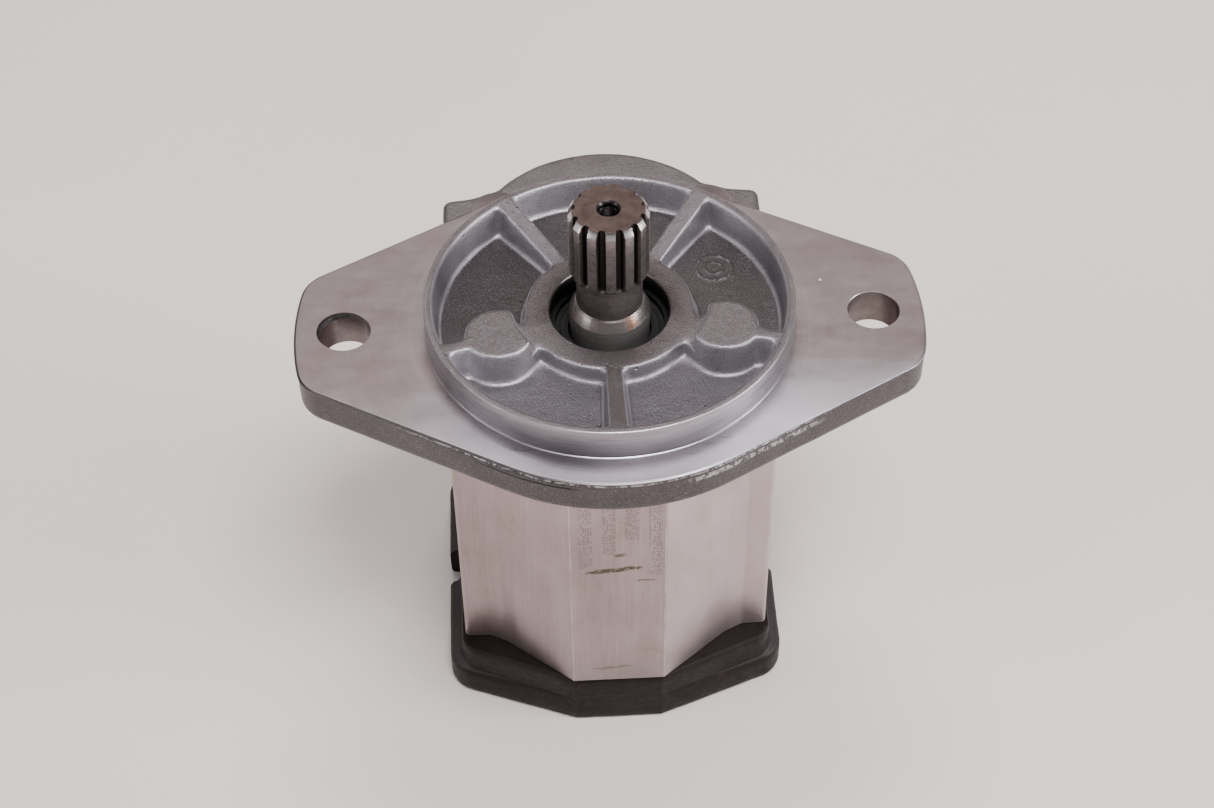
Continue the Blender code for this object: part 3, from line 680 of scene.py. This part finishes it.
def dish_height(x, y):
    r = np.hypot(x, y)
    hub = r - HUB_R
    for side in (-1, 1):
        hub = smin(hub, boss_disc(x, y, side), 5.5)
    broad = [(hub, np.full_like(r, HUB_TOP)), (RIM_R - r, np.full_like(r, RIM_TOP))]
    ribs = [rib(x, y, a) for a in RIBS]
    bosses = [(boss_edge(x, y, side), np.full_like(r, BOSS_TOP)) for side in (-1, 1)]
    z = np.full_like(r, FLOOR)
    for d, top in broad + bosses:
        z = np.maximum(z, wall(d, top))
    for d, top in ribs:
        z = np.maximum(z, wall(d, top, 0.6))
    # a round fillet in each corner where two features meet
    for (da, ta), (db, tb) in itertools.combinations(broad + ribs + bosses, 2):
        near = (da < 5) & (db < 5)
        joined = wall(smin(da, db, 2.4), np.minimum(ta, tb) - 0.06)
        z = np.where(near, np.maximum(z, joined), z)
    # plain cast marks on the floors: two rings on the right, a small one at the rear
    for cx, cy, radius, half, rise in ((30.3, 19.2, 5, 0.26, 0.28), (30.3, 19.2, 2.4, 0.24, 0.22),
                                       (-9.8, 39.5, 2.1, 0.3, 0.3)):
        off = np.abs(np.hypot(x - cx, y - cy) - radius)
        z = np.maximum(z, np.where(z < FLOOR + 0.3, FLOOR + rise * np.exp(-(off / half) ** 4), 0))
    return z


def spread_angles(total):
    """Directions round the axis, closer together where ribs and bosses stand."""
    a = np.linspace(-180, 180, 7201)
    w = np.ones_like(a)
    for c, half, extra in [(c, 6.5, 2.2) for c in RIBS] + [(-22, 22, 1.2), (-158, 22, 1.2)]:
        d = np.abs((a - c + 180) % 360 - 180)
        w += extra * np.exp(-(d / half) ** 4)
    s = np.concatenate([[0], np.cumsum((w[1:] + w[:-1]) / 2)])
    return np.radians(np.interp(np.linspace(0, s[-1], total, endpoint=False), s, a))


def pilot_dish():
    n = 620
    ang = spread_angles(n)
    radii = np.concatenate([np.linspace(a, b, count, endpoint=False) for a, b, count in
                            ((17.1, 22.4, 9), (22.4, 28.4, 28), (28.4, 44.6, 48))]
                           + [np.linspace(44.6, 49.4, 29)])
    bore_side = soft([(HOLE_R, SEAT_DEPTH), (HOLE_R, -9, 0.3), (16.55, -9, 0.2), (16.55, -1.6),
                      (17.4, -1.6), (17.4, -0.1), (16.55, -0.1), (16.55, 4.6, 0.12), (16.9, HUB_TOP)], 3)
    rim_side = soft([(49.4, RIM_TOP), (50.58, RIM_TOP, 0.05), (PILOT_R, 9.54, 0.05), (PILOT_R, 6),
                     (PILOT_R, 2), (PILOT_R, 0.18), (51.07, 0.02), (51.14, 0), (51.3, 0),
                     (SEAT_R, 0), (SEAT_R, SEAT_DEPTH)], 3)
    rings = around(ang, bore_side)
    for r in radii[1:]:
        x, y = crowd(r * np.cos(ang), r * np.sin(ang))
        rings.append(np.column_stack([x, y, dish_height(x, y)]))
    v = np.vstack(rings + around(ang, rim_side))
    r = np.hypot(v[:, 0], v[:, 1])
    cast = (r > 18) & (r < 50) & (v[:, 2] > -0.5)
    v[:, 2] += FACE
    v[:, 2] += np.where(cast, 0.07 * hash_noise(v, 5, 3) + 0.045 * hash_noise(v, 1.6, 5), 0)
    faces = []
    for k in range(0, len(v), n):
        faces += bridge(k, (k + n) % len(v), n)
    obj = paint(mesh_of("pilot_dish", v, faces, 40), CAST, MACHINED, BORED)
    for face in obj.data.polygons:
        r = math.hypot(*face.center.xy) / MM
        face.material_index = 1 if r > 50.4 else 2 if r < 17 else 0
    settle(obj, "housing", "mounting_flange")


# ---------------------------------------------------------------- flange casting
def flange_outline():
    """Round front and rear of 60 mm, tangents out to the ears, ears ending on a 86.8 mm arc."""
    reach = math.sqrt(86.8 ** 2 - 60 ** 2)
    kx, ky = 30 + reach * math.cos(PI / 6), 60 * math.sin(PI / 3) - reach * 0.5
    front = arc(0, 0, 60, -90, -60, 14)
    ear = [(kx, -ky, 11), *arc(0, 0, 86.8, -9, 9, 14), (kx, ky, 11)]
    return from_right(front + ear + [(x, -y) for x, y in reversed(front)], 14)


def shoulder_outline():
    corners = [(46.2, 31), (46.2, 36.4, 3), (37.5, 37.6, 7), (31, 40.2, 4)]
    return from_quarter(corners + arc(0, 17.4, 38, 38, 90, 22), 8)


def flange_plate():
    """The plate with its as-cast side: a broken edge on top and a torn burr under it at the front."""
    n = 1100
    edge = resample(flange_outline(), n)
    out = outward(edge)
    ang = np.degrees(np.arctan2(edge[:, 1], edge[:, 0]))
    where = np.exp(-((ang + 120) / 23) ** 4) + np.exp(-((ang + 58) / 19) ** 4)
    steps = [(-1.7, -11.2), (-1.1, -11.05), (-0.55, -10.7), (-0.2, -10.1), (0, -9.3)]
    steps += [(0, z) for z in (*np.arange(-8.6, -2.65, 0.8), -2.6, -2.25, *np.arange(-2, -0.9, 0.15),
                                 -0.8, -0.6, -0.42)]
    steps += [(0, -0.34), (-0.03, -0.31), (-0.52, -0.03), (-0.6, -0.005), (-0.75, 0)]
    rings = []
    for inset, z in steps:
        p = level(edge + out * inset, z + FACE)
        if z < -0.5:
            lump = 0.1 * hash_noise(p, 7, 11) + 0.05 * hash_noise(p, 2, 12)
            rag = np.clip(hash_noise(p * (1, 1, 0.2), 1.6, 13) + 0.75, 0, 1)
            bite = np.maximum(hash_noise(p * (1, 1, 1.6), 1.5, 14) - 0.3, 0)
            ridge = max(0, 1 - abs(z + 1.3) / 0.5)
            band = math.exp(-((z + 1.25) / 0.62) ** 2)
            push = -0.3 + lump * 0.6 - 0.15 * where * (z > -2)
            push = push + (0.42 * rag * ridge - 1.1 * bite * band) * where
            p[:, :2] += out * np.minimum(push, 0)[:, None]
        rings.append(p)
    return paint(loft("flange_plate", rings), CAST, MACHINED)


def shoulder_block():
    """The block under the plate; the fillet between them fades out where the rear stands free."""
    shape = resample(shoulder_outline(), 700)
    out = outward(shape)
    under = 1 / (1 + np.exp((shape[:, 1] - 36) / 1.6))
    steps = [(-0.6, -27.7, 0), (-0.15, -27.55, 0), (0, -27.2, 0), (0, -24, 0), (0, -20, 0), (0, -16, 0),
             (0, -14.4, 0), (0, -13.6, 0.25), (0, -12.9, 0.8), (0, -12.2, 1.7), (0, -11.6, 3),
             (0, -10.8, 3.4), (0, -8, 0), (0, -5, 0), (0, -3, 0), (-0.1, -2.1, 0), (-0.35, -1.45, 0),
             (-0.8, -1, 0), (-1.4, -0.78, 0), (-2.2, -0.7, 0)]
    rings = []
    for inset, z, flare in steps:
        p = level(shape + out * inset + out * (flare * under)[:, None], z + FACE)
        lump = 0.12 * hash_noise(p, 8, 21) + 0.05 * hash_noise(p, 2.2, 22)
        p[:, :2] += out * (np.minimum(lump, 0.15) - 0.1)[:, None] * (z > -27)
        rings.append(p)
    return paint(loft("flange_block", rings), CAST)


def flange_casting():
    solid = boolean(flange_plate(), shoulder_block(), "UNION")
    for side in (-1, 1):
        pad = lathe("pad", soft([(0, -6), (7.9, -6), (7.7, -0.12, 0.1), (7.5, -0.01), (0, -0.01)]),
                    64, side * 30.2, 47.5)
        solid = boolean(solid, paint(lift(pad, FACE), MACHINED), "UNION")
    solid = cut(solid, lift(lathe("seat", straight(SEAT_R, SEAT_DEPTH, 6), 760), FACE))
    solid = drill(solid, [(0, 0)], straight(HOLE_R, 100, 130), 72)
    hole = soft([(0, 112), (8.4, 112), (8.4, FACE - 12.1), (7.15, FACE - 10.9),
                 (7.15, FACE - 0.15, 0.05), (7.35, FACE + 0.05), (7.35, 140), (0, 140)])
    solid = drill(solid, ((-73, 0), (73, 0)), hole, 96)
    nick = lathe("nick", soft([(0, -1.9), (6.7, -1.9), (7.25, -0.9, 0.3), (7.25, 2), (0, 2)]), 90,
                 -73.42, 0.34)
    solid = cut(solid, lift(nick, FACE), CAST)
    tap = [(0, 100), (5.9, 100), (5.9, 107.3), (5.3, 108.1)] + ridges(108.1, 127, 0.38, 4.75, 5.3)
    solid = drill(solid, SCREWS, tap + [(0, tap[-1][1] + 2)], 32)
    solid = drill(solid, DOWELS, [(0, 100), (3.3, 100), (3.3, 115.5), (0, 116)], 32)
    # faces on the mounting face are machined, the joint face with the body is bored
    for face in solid.data.polygons:
        if face.normal.z > 0.3 and face.center.z > (FACE - 0.33) * MM:
            face.material_index = solid.data.materials.find(MACHINED.name)
        elif face.normal.z < -0.9 and face.center.z < 107.5 * MM:
            face.material_index = solid.data.materials.find(BORED.name)
    shade(solid, 40)
    solid.name = "flange_casting"
    settle(solid, "housing", "mounting_flange")


# ---------------------------------------------------------------- body
def figure_eight(radius, steps):
    """Outline round both shafts."""
    lean = math.degrees(math.asin(MID / radius))
    lower = arc(0, 0, radius, 180 - lean, 360 + lean, steps)
    upper = arc(0, 2 * MID, radius, -lean, 180 + lean, steps)
    return lower[:-1] + upper[:-1]


def side_hole(side, y, z, profile, segs):
    """Cutter along X from a (radius, depth from the flank) profile."""
    tool = lathe("port", profile, segs)
    turn = Matrix.Rotation(side * PI / 2, 4, "Y")
    tool.data.transform(Matrix.Translation((side * FLANK * MM, y * MM, z * MM)) @ turn)
    return tool


def port_thread():
    """Profile of a flange screw's tapped hole, with its countersink."""
    root, crest, depth, pitch, lead = 3.95, 3.35, 12.5, 1.25, 0.9
    thread = ridges(-lead, -depth, -pitch / 2, crest, root)
    mouth = [(0, 3), (root + lead, 3), (root + lead, 0), (root, -lead)]
    return mouth + thread + [(0, thread[-1][1] - 1.5)]


def port(body, side, r, spread):
    """Port bore of radius r, its spot face, its seal groove and four tapped holes round it."""
    hole = soft([(0, 4), (r + 1.6, 4), (r + 1, 0), (r, -0.9), (r, -42), (0, -42)])
    body = cut(body, side_hole(side, MID, PORT_Z, hole, 96))
    face = [(0, 3), (r + 12, 3), (r + 12, -0.12), (0, -0.12)]
    body = cut(body, side_hole(side, MID, PORT_Z, face, 128), BRIGHT_ALU)
    a = np.linspace(0, 2 * PI, 96, endpoint=False)
    groove = [np.column_stack([np.full(96, FLANK * side + dx * side), MID + q * np.cos(a),
                               PORT_Z + q * np.sin(a)])
              for q, dx in ((r + 5.2, 2), (r + 5.2, -1.4), (r + 2.6, -1.4), (r + 2.6, 2))]
    body = cut(body, loft("ring", groove, loop=True))
    for dy in (-spread, spread):
        for dz in (-spread, spread):
            body = cut(body, side_hole(side, MID + dy, PORT_Z + dz, port_thread(), 48))
    return body


def pump_body():
    shape = np.array(from_quarter([(FLANK, 35.3, 1.2), (38.6, 35.5, 3), (33.2, 38.3, 8),
                                   (13.65, 54.4, 0.7)], 9))
    out = outward(shape)
    rings = [level(shape + out * inset, z) for inset, z in
             ((-0.35, 20), (-0.1, 20.12), (0, 20.35), (0, 45), (0, 82), (0, 106.65),
              (-0.1, 106.88), (-0.35, 107))]
    body = paint(loft("pump_housing", rings), BODY)
    body = cut(body, prism("chamber", figure_eight(19.75, 60), 5, 125))
    outer, inner = figure_eight(24.8, 40), figure_eight(22.4, 40)
    for z0, z1 in ((10, 21.9), (105.1, 115)):
        groove = [level(outer, z0), level(outer, z1), level(inner, z1), level(inner, z0)]
        body = cut(body, loft("groove", groove, loop=True))
    body = drill(body, SCREWS, straight(5.5, 10, 115), 40)
    body = drill(body, DOWELS, straight(3.3, 10, 28.4), 28)
    body = drill(body, DOWELS, straight(3.3, 98.6, 115), 28)
    body = port(body, 1, 13, 19.4)
    body = port(body, -1, 9.5, 14.6)
    shade(body, 24)
    settle(body, "housing", "pump_body")


# ---------------------------------------------------------------- rear cover
def cover_outline(half_width, corner):
    return polar(from_quarter([(half_width, 39.4, corner), (13, 54.5, 2.5)], 12), 900)


def rear_cover():
    low, up = cover_outline(51.4, 10), cover_outline(47.4, 7.5)
    out_low, out_up = outward(low), outward(up)
    gap = np.hypot(*(low - up).T)
    rings = [level(low + out_low * inset, z) for inset, z in
             ((-2.4, 0), (-1.5, 0.05), (-0.8, 0.35), (-0.25, 0.95), (0, 1.8), (0, 4), (0, 6.5),
              (0, 8.3), (-0.3, 9.4), (-0.95, 10.25), (-1.9, 10.6))]
    # the ledge's inner fillet climbs to the upper wall, and both walls meet at the end flats
    for share, z in ((0.75, 10.7), (0.45, 10.95), (0.22, 11.5), (0.07, 12.4), (0, 13.8)):
        rings.append(level(up + (low - up) * share * np.clip(gap / 3.6, 0, 1)[:, None], z))
    for inset, z in ((0, 16.5), (0, 18.4), (-0.2, 19.1), (-0.6, 19.5), (-1.3, 19.7)):
        rings.append(level(up + out_up * inset, z))
    # where the two outlines touch, the wall stays straight instead of pinching at the ledge
    flat = np.clip((1.2 - gap) / 1.2, 0, 1)[:, None]
    for ring in rings:
        z = ring[0, 2]
        if 7 < z < 16:
            ring[:, :2] = ring[:, :2] * (1 - flat) + up * flat
        if 0.5 < z < 19.3:
            lump = 0.1 * hash_noise(ring, 8, 31) + 0.05 * hash_noise(ring, 2.5, 32) - 0.12
            ring[:, :2] += out_low * lump[:, None]
    cover = paint(loft("rear_cover_casting", rings), IRON)
    for side in (-1, 1):
        notch = rounded([(47.9, -6.3, 1.6), (70, -6.3), (70, 6.3), (47.9, 6.3, 1.6)], 6)
        shape = [(side * x, MID + y) for x, y in notch][::side]
        cover = cut(cover, prism("notch", shape, -4, 30), IRON)
    pocket = [(0, -4), (9.9, -4), (9.9, -0.2), (9, 0.7), (9, 13), (5.5, 13), (5.5, 30), (0, 30)]
    cover = drill(cover, SCREWS, pocket, 72, GEAR)
    cover = drill(cover, DOWELS, straight(3.3, 11.6, 30), 28, GEAR)
    shade(cover, 50)
    settle(cover, "housing", "rear_cover")


# ---------------------------------------------------------------- shafts and gears
def gear_outline(phase):
    """Twelve involute teeth of module 17 * 2 / 12 with 0.3 mm of play between the flanks."""
    teeth, tip_r, root_r = 12, 19.5, 13.8
    tilt = math.radians(28)
    base = MID * math.cos(tilt)
    thickness = PI / 24 - 0.3 / 4 / MID + math.tan(tilt) - tilt

    def half(r):
        s = math.acos(min(1, base / r))
        return thickness - (math.tan(s) - s)

    tip = half(tip_r) - 0.005
    flank = [(root_r, half(base) + 0.03), (14, half(base) + 0.012), (14.4, half(base) + 0.003)]
    flank += [(r, half(r)) for r in np.linspace(base, 19.42, 9)] + [(tip_r, tip)]
    pts = []
    for k in range(teeth):
        mid = math.radians(phase) + 2 * PI * k / teeth
        pts += [(r, mid - a) for r, a in flank]
        pts += [(tip_r, mid + tip * u) for u in (-0.33, 0.33)]
        pts += [(r, mid + a) for r, a in reversed(flank)]
        pts += [(root_r, mid + PI / teeth)]
    return [(r * math.cos(a), r * math.sin(a)) for r, a in pts]


def gear_solid(name, phase, y):
    centre = np.array((0, y))
    rel = np.array(gear_outline(phase))
    rad = np.hypot(*rel.T)[:, None]
    rings = [level(centre + rel / rad * np.minimum(rad, 19.5 - chamfer), z)
             for chamfer, z in ((0.35, 47.3), (0, 47.65), (0, 79.35), (0.35, 79.7))]
    return paint(loft(name, rings), GEAR)


def mirrored(half):
    return half + [(-a, h) for a, h in reversed(half)]


# one spline from root to root: (degrees from its middle, height as a share of the full tooth)
SPLINE = mirrored([(-13.3, 0), (-12, 0), (-10.9, 0), (-10.1, 0.03), (-9.5, 0.1), (-8.9, 0.24),
                   (-8.3, 0.45), (-7.7, 0.68), (-7.1, 0.9), (-6.8, 0.975), (-6.4, 1)])
SPLINE_TURN = -62.15
TIP_R, NECK_R = 10.9, 9.05


def splined_end(ang):
    """Rings up the splined end: cutter run-out below, chamfered tips above."""
    share = np.array([h for _ in range(TEETH) for _, h in SPLINE])
    base = 154.2
    heights = [(base, NECK_R, 0), (base + 0.15, 9.5, 0.35), (base + 0.45, 10, 0.75),
               (base + 0.9, 10.5, 0.95), (base + 1.4, 10.8, 1), (base + 1.9, TIP_R, 1),
               (160, TIP_R, 1), (168, TIP_R, 1), (174.25, TIP_R, 1), (174.5, 10.82, 1),
               (175.95, 9.93, 1), (176.3, 9.74, 1), (176.38, 9.66, 1), (TOP, 9.5, 1)]
    rings = []
    for z, limit, deep in heights:
        root = NECK_R - 0.2 * deep
        rings.append((np.minimum(root + (TIP_R - root) * share, limit), z))
    rings.append((rings[-1][0] - 0.35, TOP))
    return around(ang, rings)


def drive_shaft():
    ang = np.radians([SPLINE_TURN + 360 * k / TEETH + a for k in range(TEETH) for a, _ in SPLINE])
    lower = soft([(0.02, 20.4), (10.2, 20.4, 0.2), (11, 21.2, 0.2), (11, 46), (11, 47.2),
                  (11, 80), (11, 115.4, 0.2), (11.1, 116), (11.1, 140.55, 0.35),
                  (9.55, 143.35, 0.3), (NECK_R, 143.8, 0.3), (NECK_R, 154.1)], 4)
    centre_hole = soft([(8.2, TOP), (6, TOP), (3.6, TOP), (3.3, TOP, 0.1), (2.65, 175.7, 0.1),
                        (2.65, 174.9)], 3)
    centre_hole += ridges(174.9, 163.5, -0.4, 3.05, 2.65)
    centre_hole.append((0.02, centre_hole[-1][1] - 1.5))
    rings = around(ang, lower) + splined_end(ang) + around(ang, centre_hole)
    shaft = paint(loft("drive_shaft", rings), SHAFT)
    shaft = boolean(shaft, gear_solid("drive_gear", 90, 0), "UNION")
    shade(shaft, 30)
    settle(shaft, "drive_shaft", "drive_gear_shaft")


def driven_shaft():
    profile = soft([(0, 20.4), (10.2, 20.4, 0.2), (11, 21.2, 0.2), (11, 105.6, 0.2),
                    (10.2, 106.4, 0.2), (0, 106.4)])
    shaft = paint(lathe("driven_shaft", profile, 96, 0, 2 * MID), GEAR)
    shaft = boolean(shaft, gear_solid("driven_gear", 285, 2 * MID), "UNION")
    shade(shaft, 30)
    settle(shaft, "driven_shaft", "driven_gear_shaft")


# ---------------------------------------------------------------- shaft seal
def seal_case():
    profile = soft([(16.3, 132, 0.3), (16.3, 126.4, 0.1), (15.5, 126.4, 0.1), (15.5, 131.2, 0.2),
                    (13.4, 131.2, 0.1), (13.4, 132, 0.1), (16.3, 132)], 3)[:-1]
    case = paint(lathe("seal_case", profile, 96, loop=True), BRIGHT)
    settle(case, "housing", "shaft_seal_case")


def seal_lip():
    profile = soft([
        (15, 133.1), (16.3, 133.1, 0.4), (16.3, 132.3, 0.1), (13.1, 132.3, 0.2), (13.1, 130.2, 0.5),
        (13.6, 129.2, 0.4), (13.2, 127.2, 0.3), (11.9, 127.2, 0.3), (11.45, 128.2, 0.1), (12.1, 129.8, 0.5),
        (12.1, 131.6, 0.5), (11.45, 132.5, 0.15), (11.55, 132.85, 0.1), (12.6, 132.6, 0.3),
        (13.6, 132.75, 0.3), (14.2, 133.1, 0.2)], 3)
    lip = paint(lathe("seal_lip", profile, 110, loop=True), RUBBER)
    settle(lip, "housing", "shaft_seal_lip")


def garter_spring():
    """A wire wound round the lip: coils of 0.36 mm radius on a 14.35 mm circle."""
    turns, coil, wire, sides = 150, 0.36, 0.12, 6
    t = np.linspace(0, 2 * PI, turns * 8, endpoint=False)
    r = 14.35 + coil * np.cos(t * turns)
    path = np.column_stack([r * np.cos(t), r * np.sin(t), 128.3 + coil * np.sin(t * turns)])
    ahead = np.roll(path, -1, 0) - np.roll(path, 1, 0)
    ahead /= np.linalg.norm(ahead, axis=1)[:, None]
    across = np.cross(ahead, np.column_stack([np.cos(t), np.sin(t), np.zeros(len(t))]))
    across /= np.linalg.norm(across, axis=1)[:, None]
    third = np.cross(across, ahead)
    skin = [path + wire * (math.cos(a) * across + math.sin(a) * third)
            for a in (k * 2 * PI / sides for k in range(sides))]
    spring = paint(loft("garter_coil", np.stack(skin, 1), loop=True, sharp=60), BRIGHT)
    settle(spring, "housing", "garter_spring")


def retaining_ring():
    """Open ring with two eyes at its ends, in front of the seal."""
    start, end, lug_r = -79, 259, 13.2
    shape = np.array(arc(0, 0, 17.1, start, end, 110) + arc(0, 0, lug_r, end, end - 12, 8)
                     + arc(0, 0, 15.1, end - 16, start + 16, 90) + arc(0, 0, lug_r, start + 12, start, 8))
    out = outward(shape)
    ring = loft("retaining_ring", [level(shape - out * 0.06, 133.7), level(shape, 133.77),
                                   level(shape, 134.53), level(shape - out * 0.06, 134.6)])
    paint(ring, BLACK_STEEL)
    eyes = [arc(0, 0, 14.8, a, a, 1)[0] for a in (-73, -107)]
    ring = drill(ring, eyes, straight(0.8, 132, 136), 24, BLACK_STEEL)
    shade(ring, 40)
    settle(ring, "housing", "seal_retaining_ring")


# ---------------------------------------------------------------- cap screws and washers
def cap_screw(x, y, name):
    knurls = 48
    a = np.linspace(0, 2 * PI, knurls * 4, endpoint=False)
    grip = 1 - 0.018 * (0.5 + 0.5 * np.cos(a * knurls)) ** 2
    profile = soft([(0.02, 1.4), (7.1, 1.4, 0.3), (8, 2.3, 0.4), (8, 10.7, 0.25), (7.7, 11),
                    (5.4, 11, 0.3), (5, 11.5), (5, 104)], 4)
    profile += ridges(104, 124, 0.5, 4.72, 5) + [(5, 124.6), (4.2, 125.5), (0.02, 125.5)]
    knurled = [(r * (grip if 2.2 < z < 10.8 and r > 7.9 else 1), z) for r, z in profile]
    screw = paint(loft("socket_screw_" + name, around(a, knurled, x, y)), BLACK_STEEL)
    key = [(0, -2), (4.95, -2), (4.95, 1.3), (4.6, 1.75), (4.6, 6.6), (0, 7.6)]
    screw = cut(screw, lathe("key", key, 6, x, y), BLACK_STEEL)
    shade(screw, 30)
    settle(screw, "housing", "cap_screw_" + name)


def washer(x, y, name):
    profile = soft([(7, 12.75), (8.6, 12.75, 0.25), (8.6, 11.3, 0.12), (5.3, 11.3, 0.1),
                    (5.3, 12.75, 0.12)], 3)
    disc = paint(lathe("plain_washer_" + name, profile, 64, x, y, loop=True), BRIGHT)
    settle(disc, "housing", "washer_" + name)


flange_casting()
pilot_dish()
pump_body()
rear_cover()
drive_shaft()
driven_shaft()
seal_case()
seal_lip()
garter_spring()
retaining_ring()
for (sx, sy), place in zip(SCREWS, SCREW_NAMES):
    cap_screw(sx, sy, place)
    washer(sx, sy, place)

# inner pieces keep their CAD shapes and get their materials
INNER = {"bearing_block": BLOCK, "bush": BRONZE, "pressure_seal": RUBBER, "body_seal": RUBBER,
         "backup_ring": BACKUP, "dowel": BRIGHT}
for node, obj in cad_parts.items():
    for word, mat in INNER.items():
        if word in node:
            for mat_slot in obj.material_slots:
                mat_slot.material = mat


# ---------------------------------------------------------------- stage, lights, camera
def stage():
    g = Graph("pale_floor")
    g.color = g.mix(fit(g.noise(4, 3, 0.5), 0.3, 0.7), (0.66, 0.59, 0.545), (0.7, 0.63, 0.585))
    g.done(0.85, 0, g.bump(g.noise(350, 3, 0.6), 0.0002, 0.15))
    mesh = bpy.data.meshes.new("floor")
    mesh.from_pydata([(-6, -6, 0), (6, -6, 0), (6, 6, 0), (-6, 6, 0)], [], [(0, 1, 2, 3)])
    floor = bpy.data.objects.new("floor", mesh)
    bpy.context.scene.collection.objects.link(floor)
    mesh.materials.append(g.mat)


def softbox(name, at, aim, size, power, color):
    light = bpy.data.lights.new(name, "AREA")
    light.shape = "RECTANGLE"
    light.size, light.size_y = size
    light.energy = power
    light.color = color
    obj = bpy.data.objects.new(name, light)
    obj.location = at
    obj.rotation_euler = (Vector(aim) - Vector(at)).to_track_quat("-Z", "Y").to_euler()
    bpy.context.scene.collection.objects.link(obj)


def surroundings():
    """Studio air: pale near the horizon, dim overhead."""
    world = bpy.data.worlds.new("studio")
    bpy.context.scene.world = world
    world.use_nodes = True
    tree = world.node_tree
    coord, split, ramp = [tree.nodes.new("ShaderNode" + kind)
                          for kind in ("TexCoord", "SeparateXYZ", "ValToRGB")]
    tree.links.new(coord.outputs["Generated"], split.inputs[0])
    tree.links.new(split.outputs[2], ramp.inputs[0])
    tree.links.new(ramp.outputs[0], tree.nodes["Background"].inputs["Color"])
    ramp.color_ramp.interpolation = "EASE"
    stops = ((0.04, (0.625, 0.58, 0.57, 1)), (0.42, (0.107, 0.092, 0.089, 1)))
    for stop, (position, color) in zip(ramp.color_ramp.elements, stops):
        stop.position, stop.color = position, color


def camera():
    """Seen from the front and above, placed so that the render overlays the photo."""
    cam = bpy.data.cameras.new("camera")
    cam.lens, cam.sensor_width, cam.sensor_fit = 67, 36, "HORIZONTAL"
    cam.clip_start, cam.clip_end = 0.01, 20
    eye = bpy.data.objects.new("camera", cam)
    turn = Matrix.Identity(4)
    for degrees, axis in ((-2.3367, "Z"), (43.1768, "X"), (-0.7481, "Z")):
        turn = turn @ Matrix.Rotation(math.radians(degrees), 4, axis)
    eye.matrix_world = Matrix.Translation((-0.0191, -0.44214, 0.57312)) @ turn
    bpy.context.scene.collection.objects.link(eye)
    bpy.context.scene.camera = eye


stage()
softbox("overhead", (0.27, -0.76, 2.1), (0, 0, 0.1), (0.8, 0.7), 58, (0.95, 0.945, 1))
softbox("top", (0, 0.76, 2.2), (0, 0, 0.1), (0.9, 0.65), 29, (0.95, 0.945, 1))
softbox("right", (2, -0.55, 0.7), (0, 0, 0.12), (0.9, 1.25), 56, (0.97, 0.955, 1))
softbox("left", (-2, -0.62, 0.7), (0, 0, 0.12), (0.9, 1.25), 24, (0.97, 0.955, 1))
softbox("back", (0, 2.9, 2.3), (0, 0, 0.1), (4.6, 1.3), 23, (1, 0.92, 0.89))
surroundings()
camera()
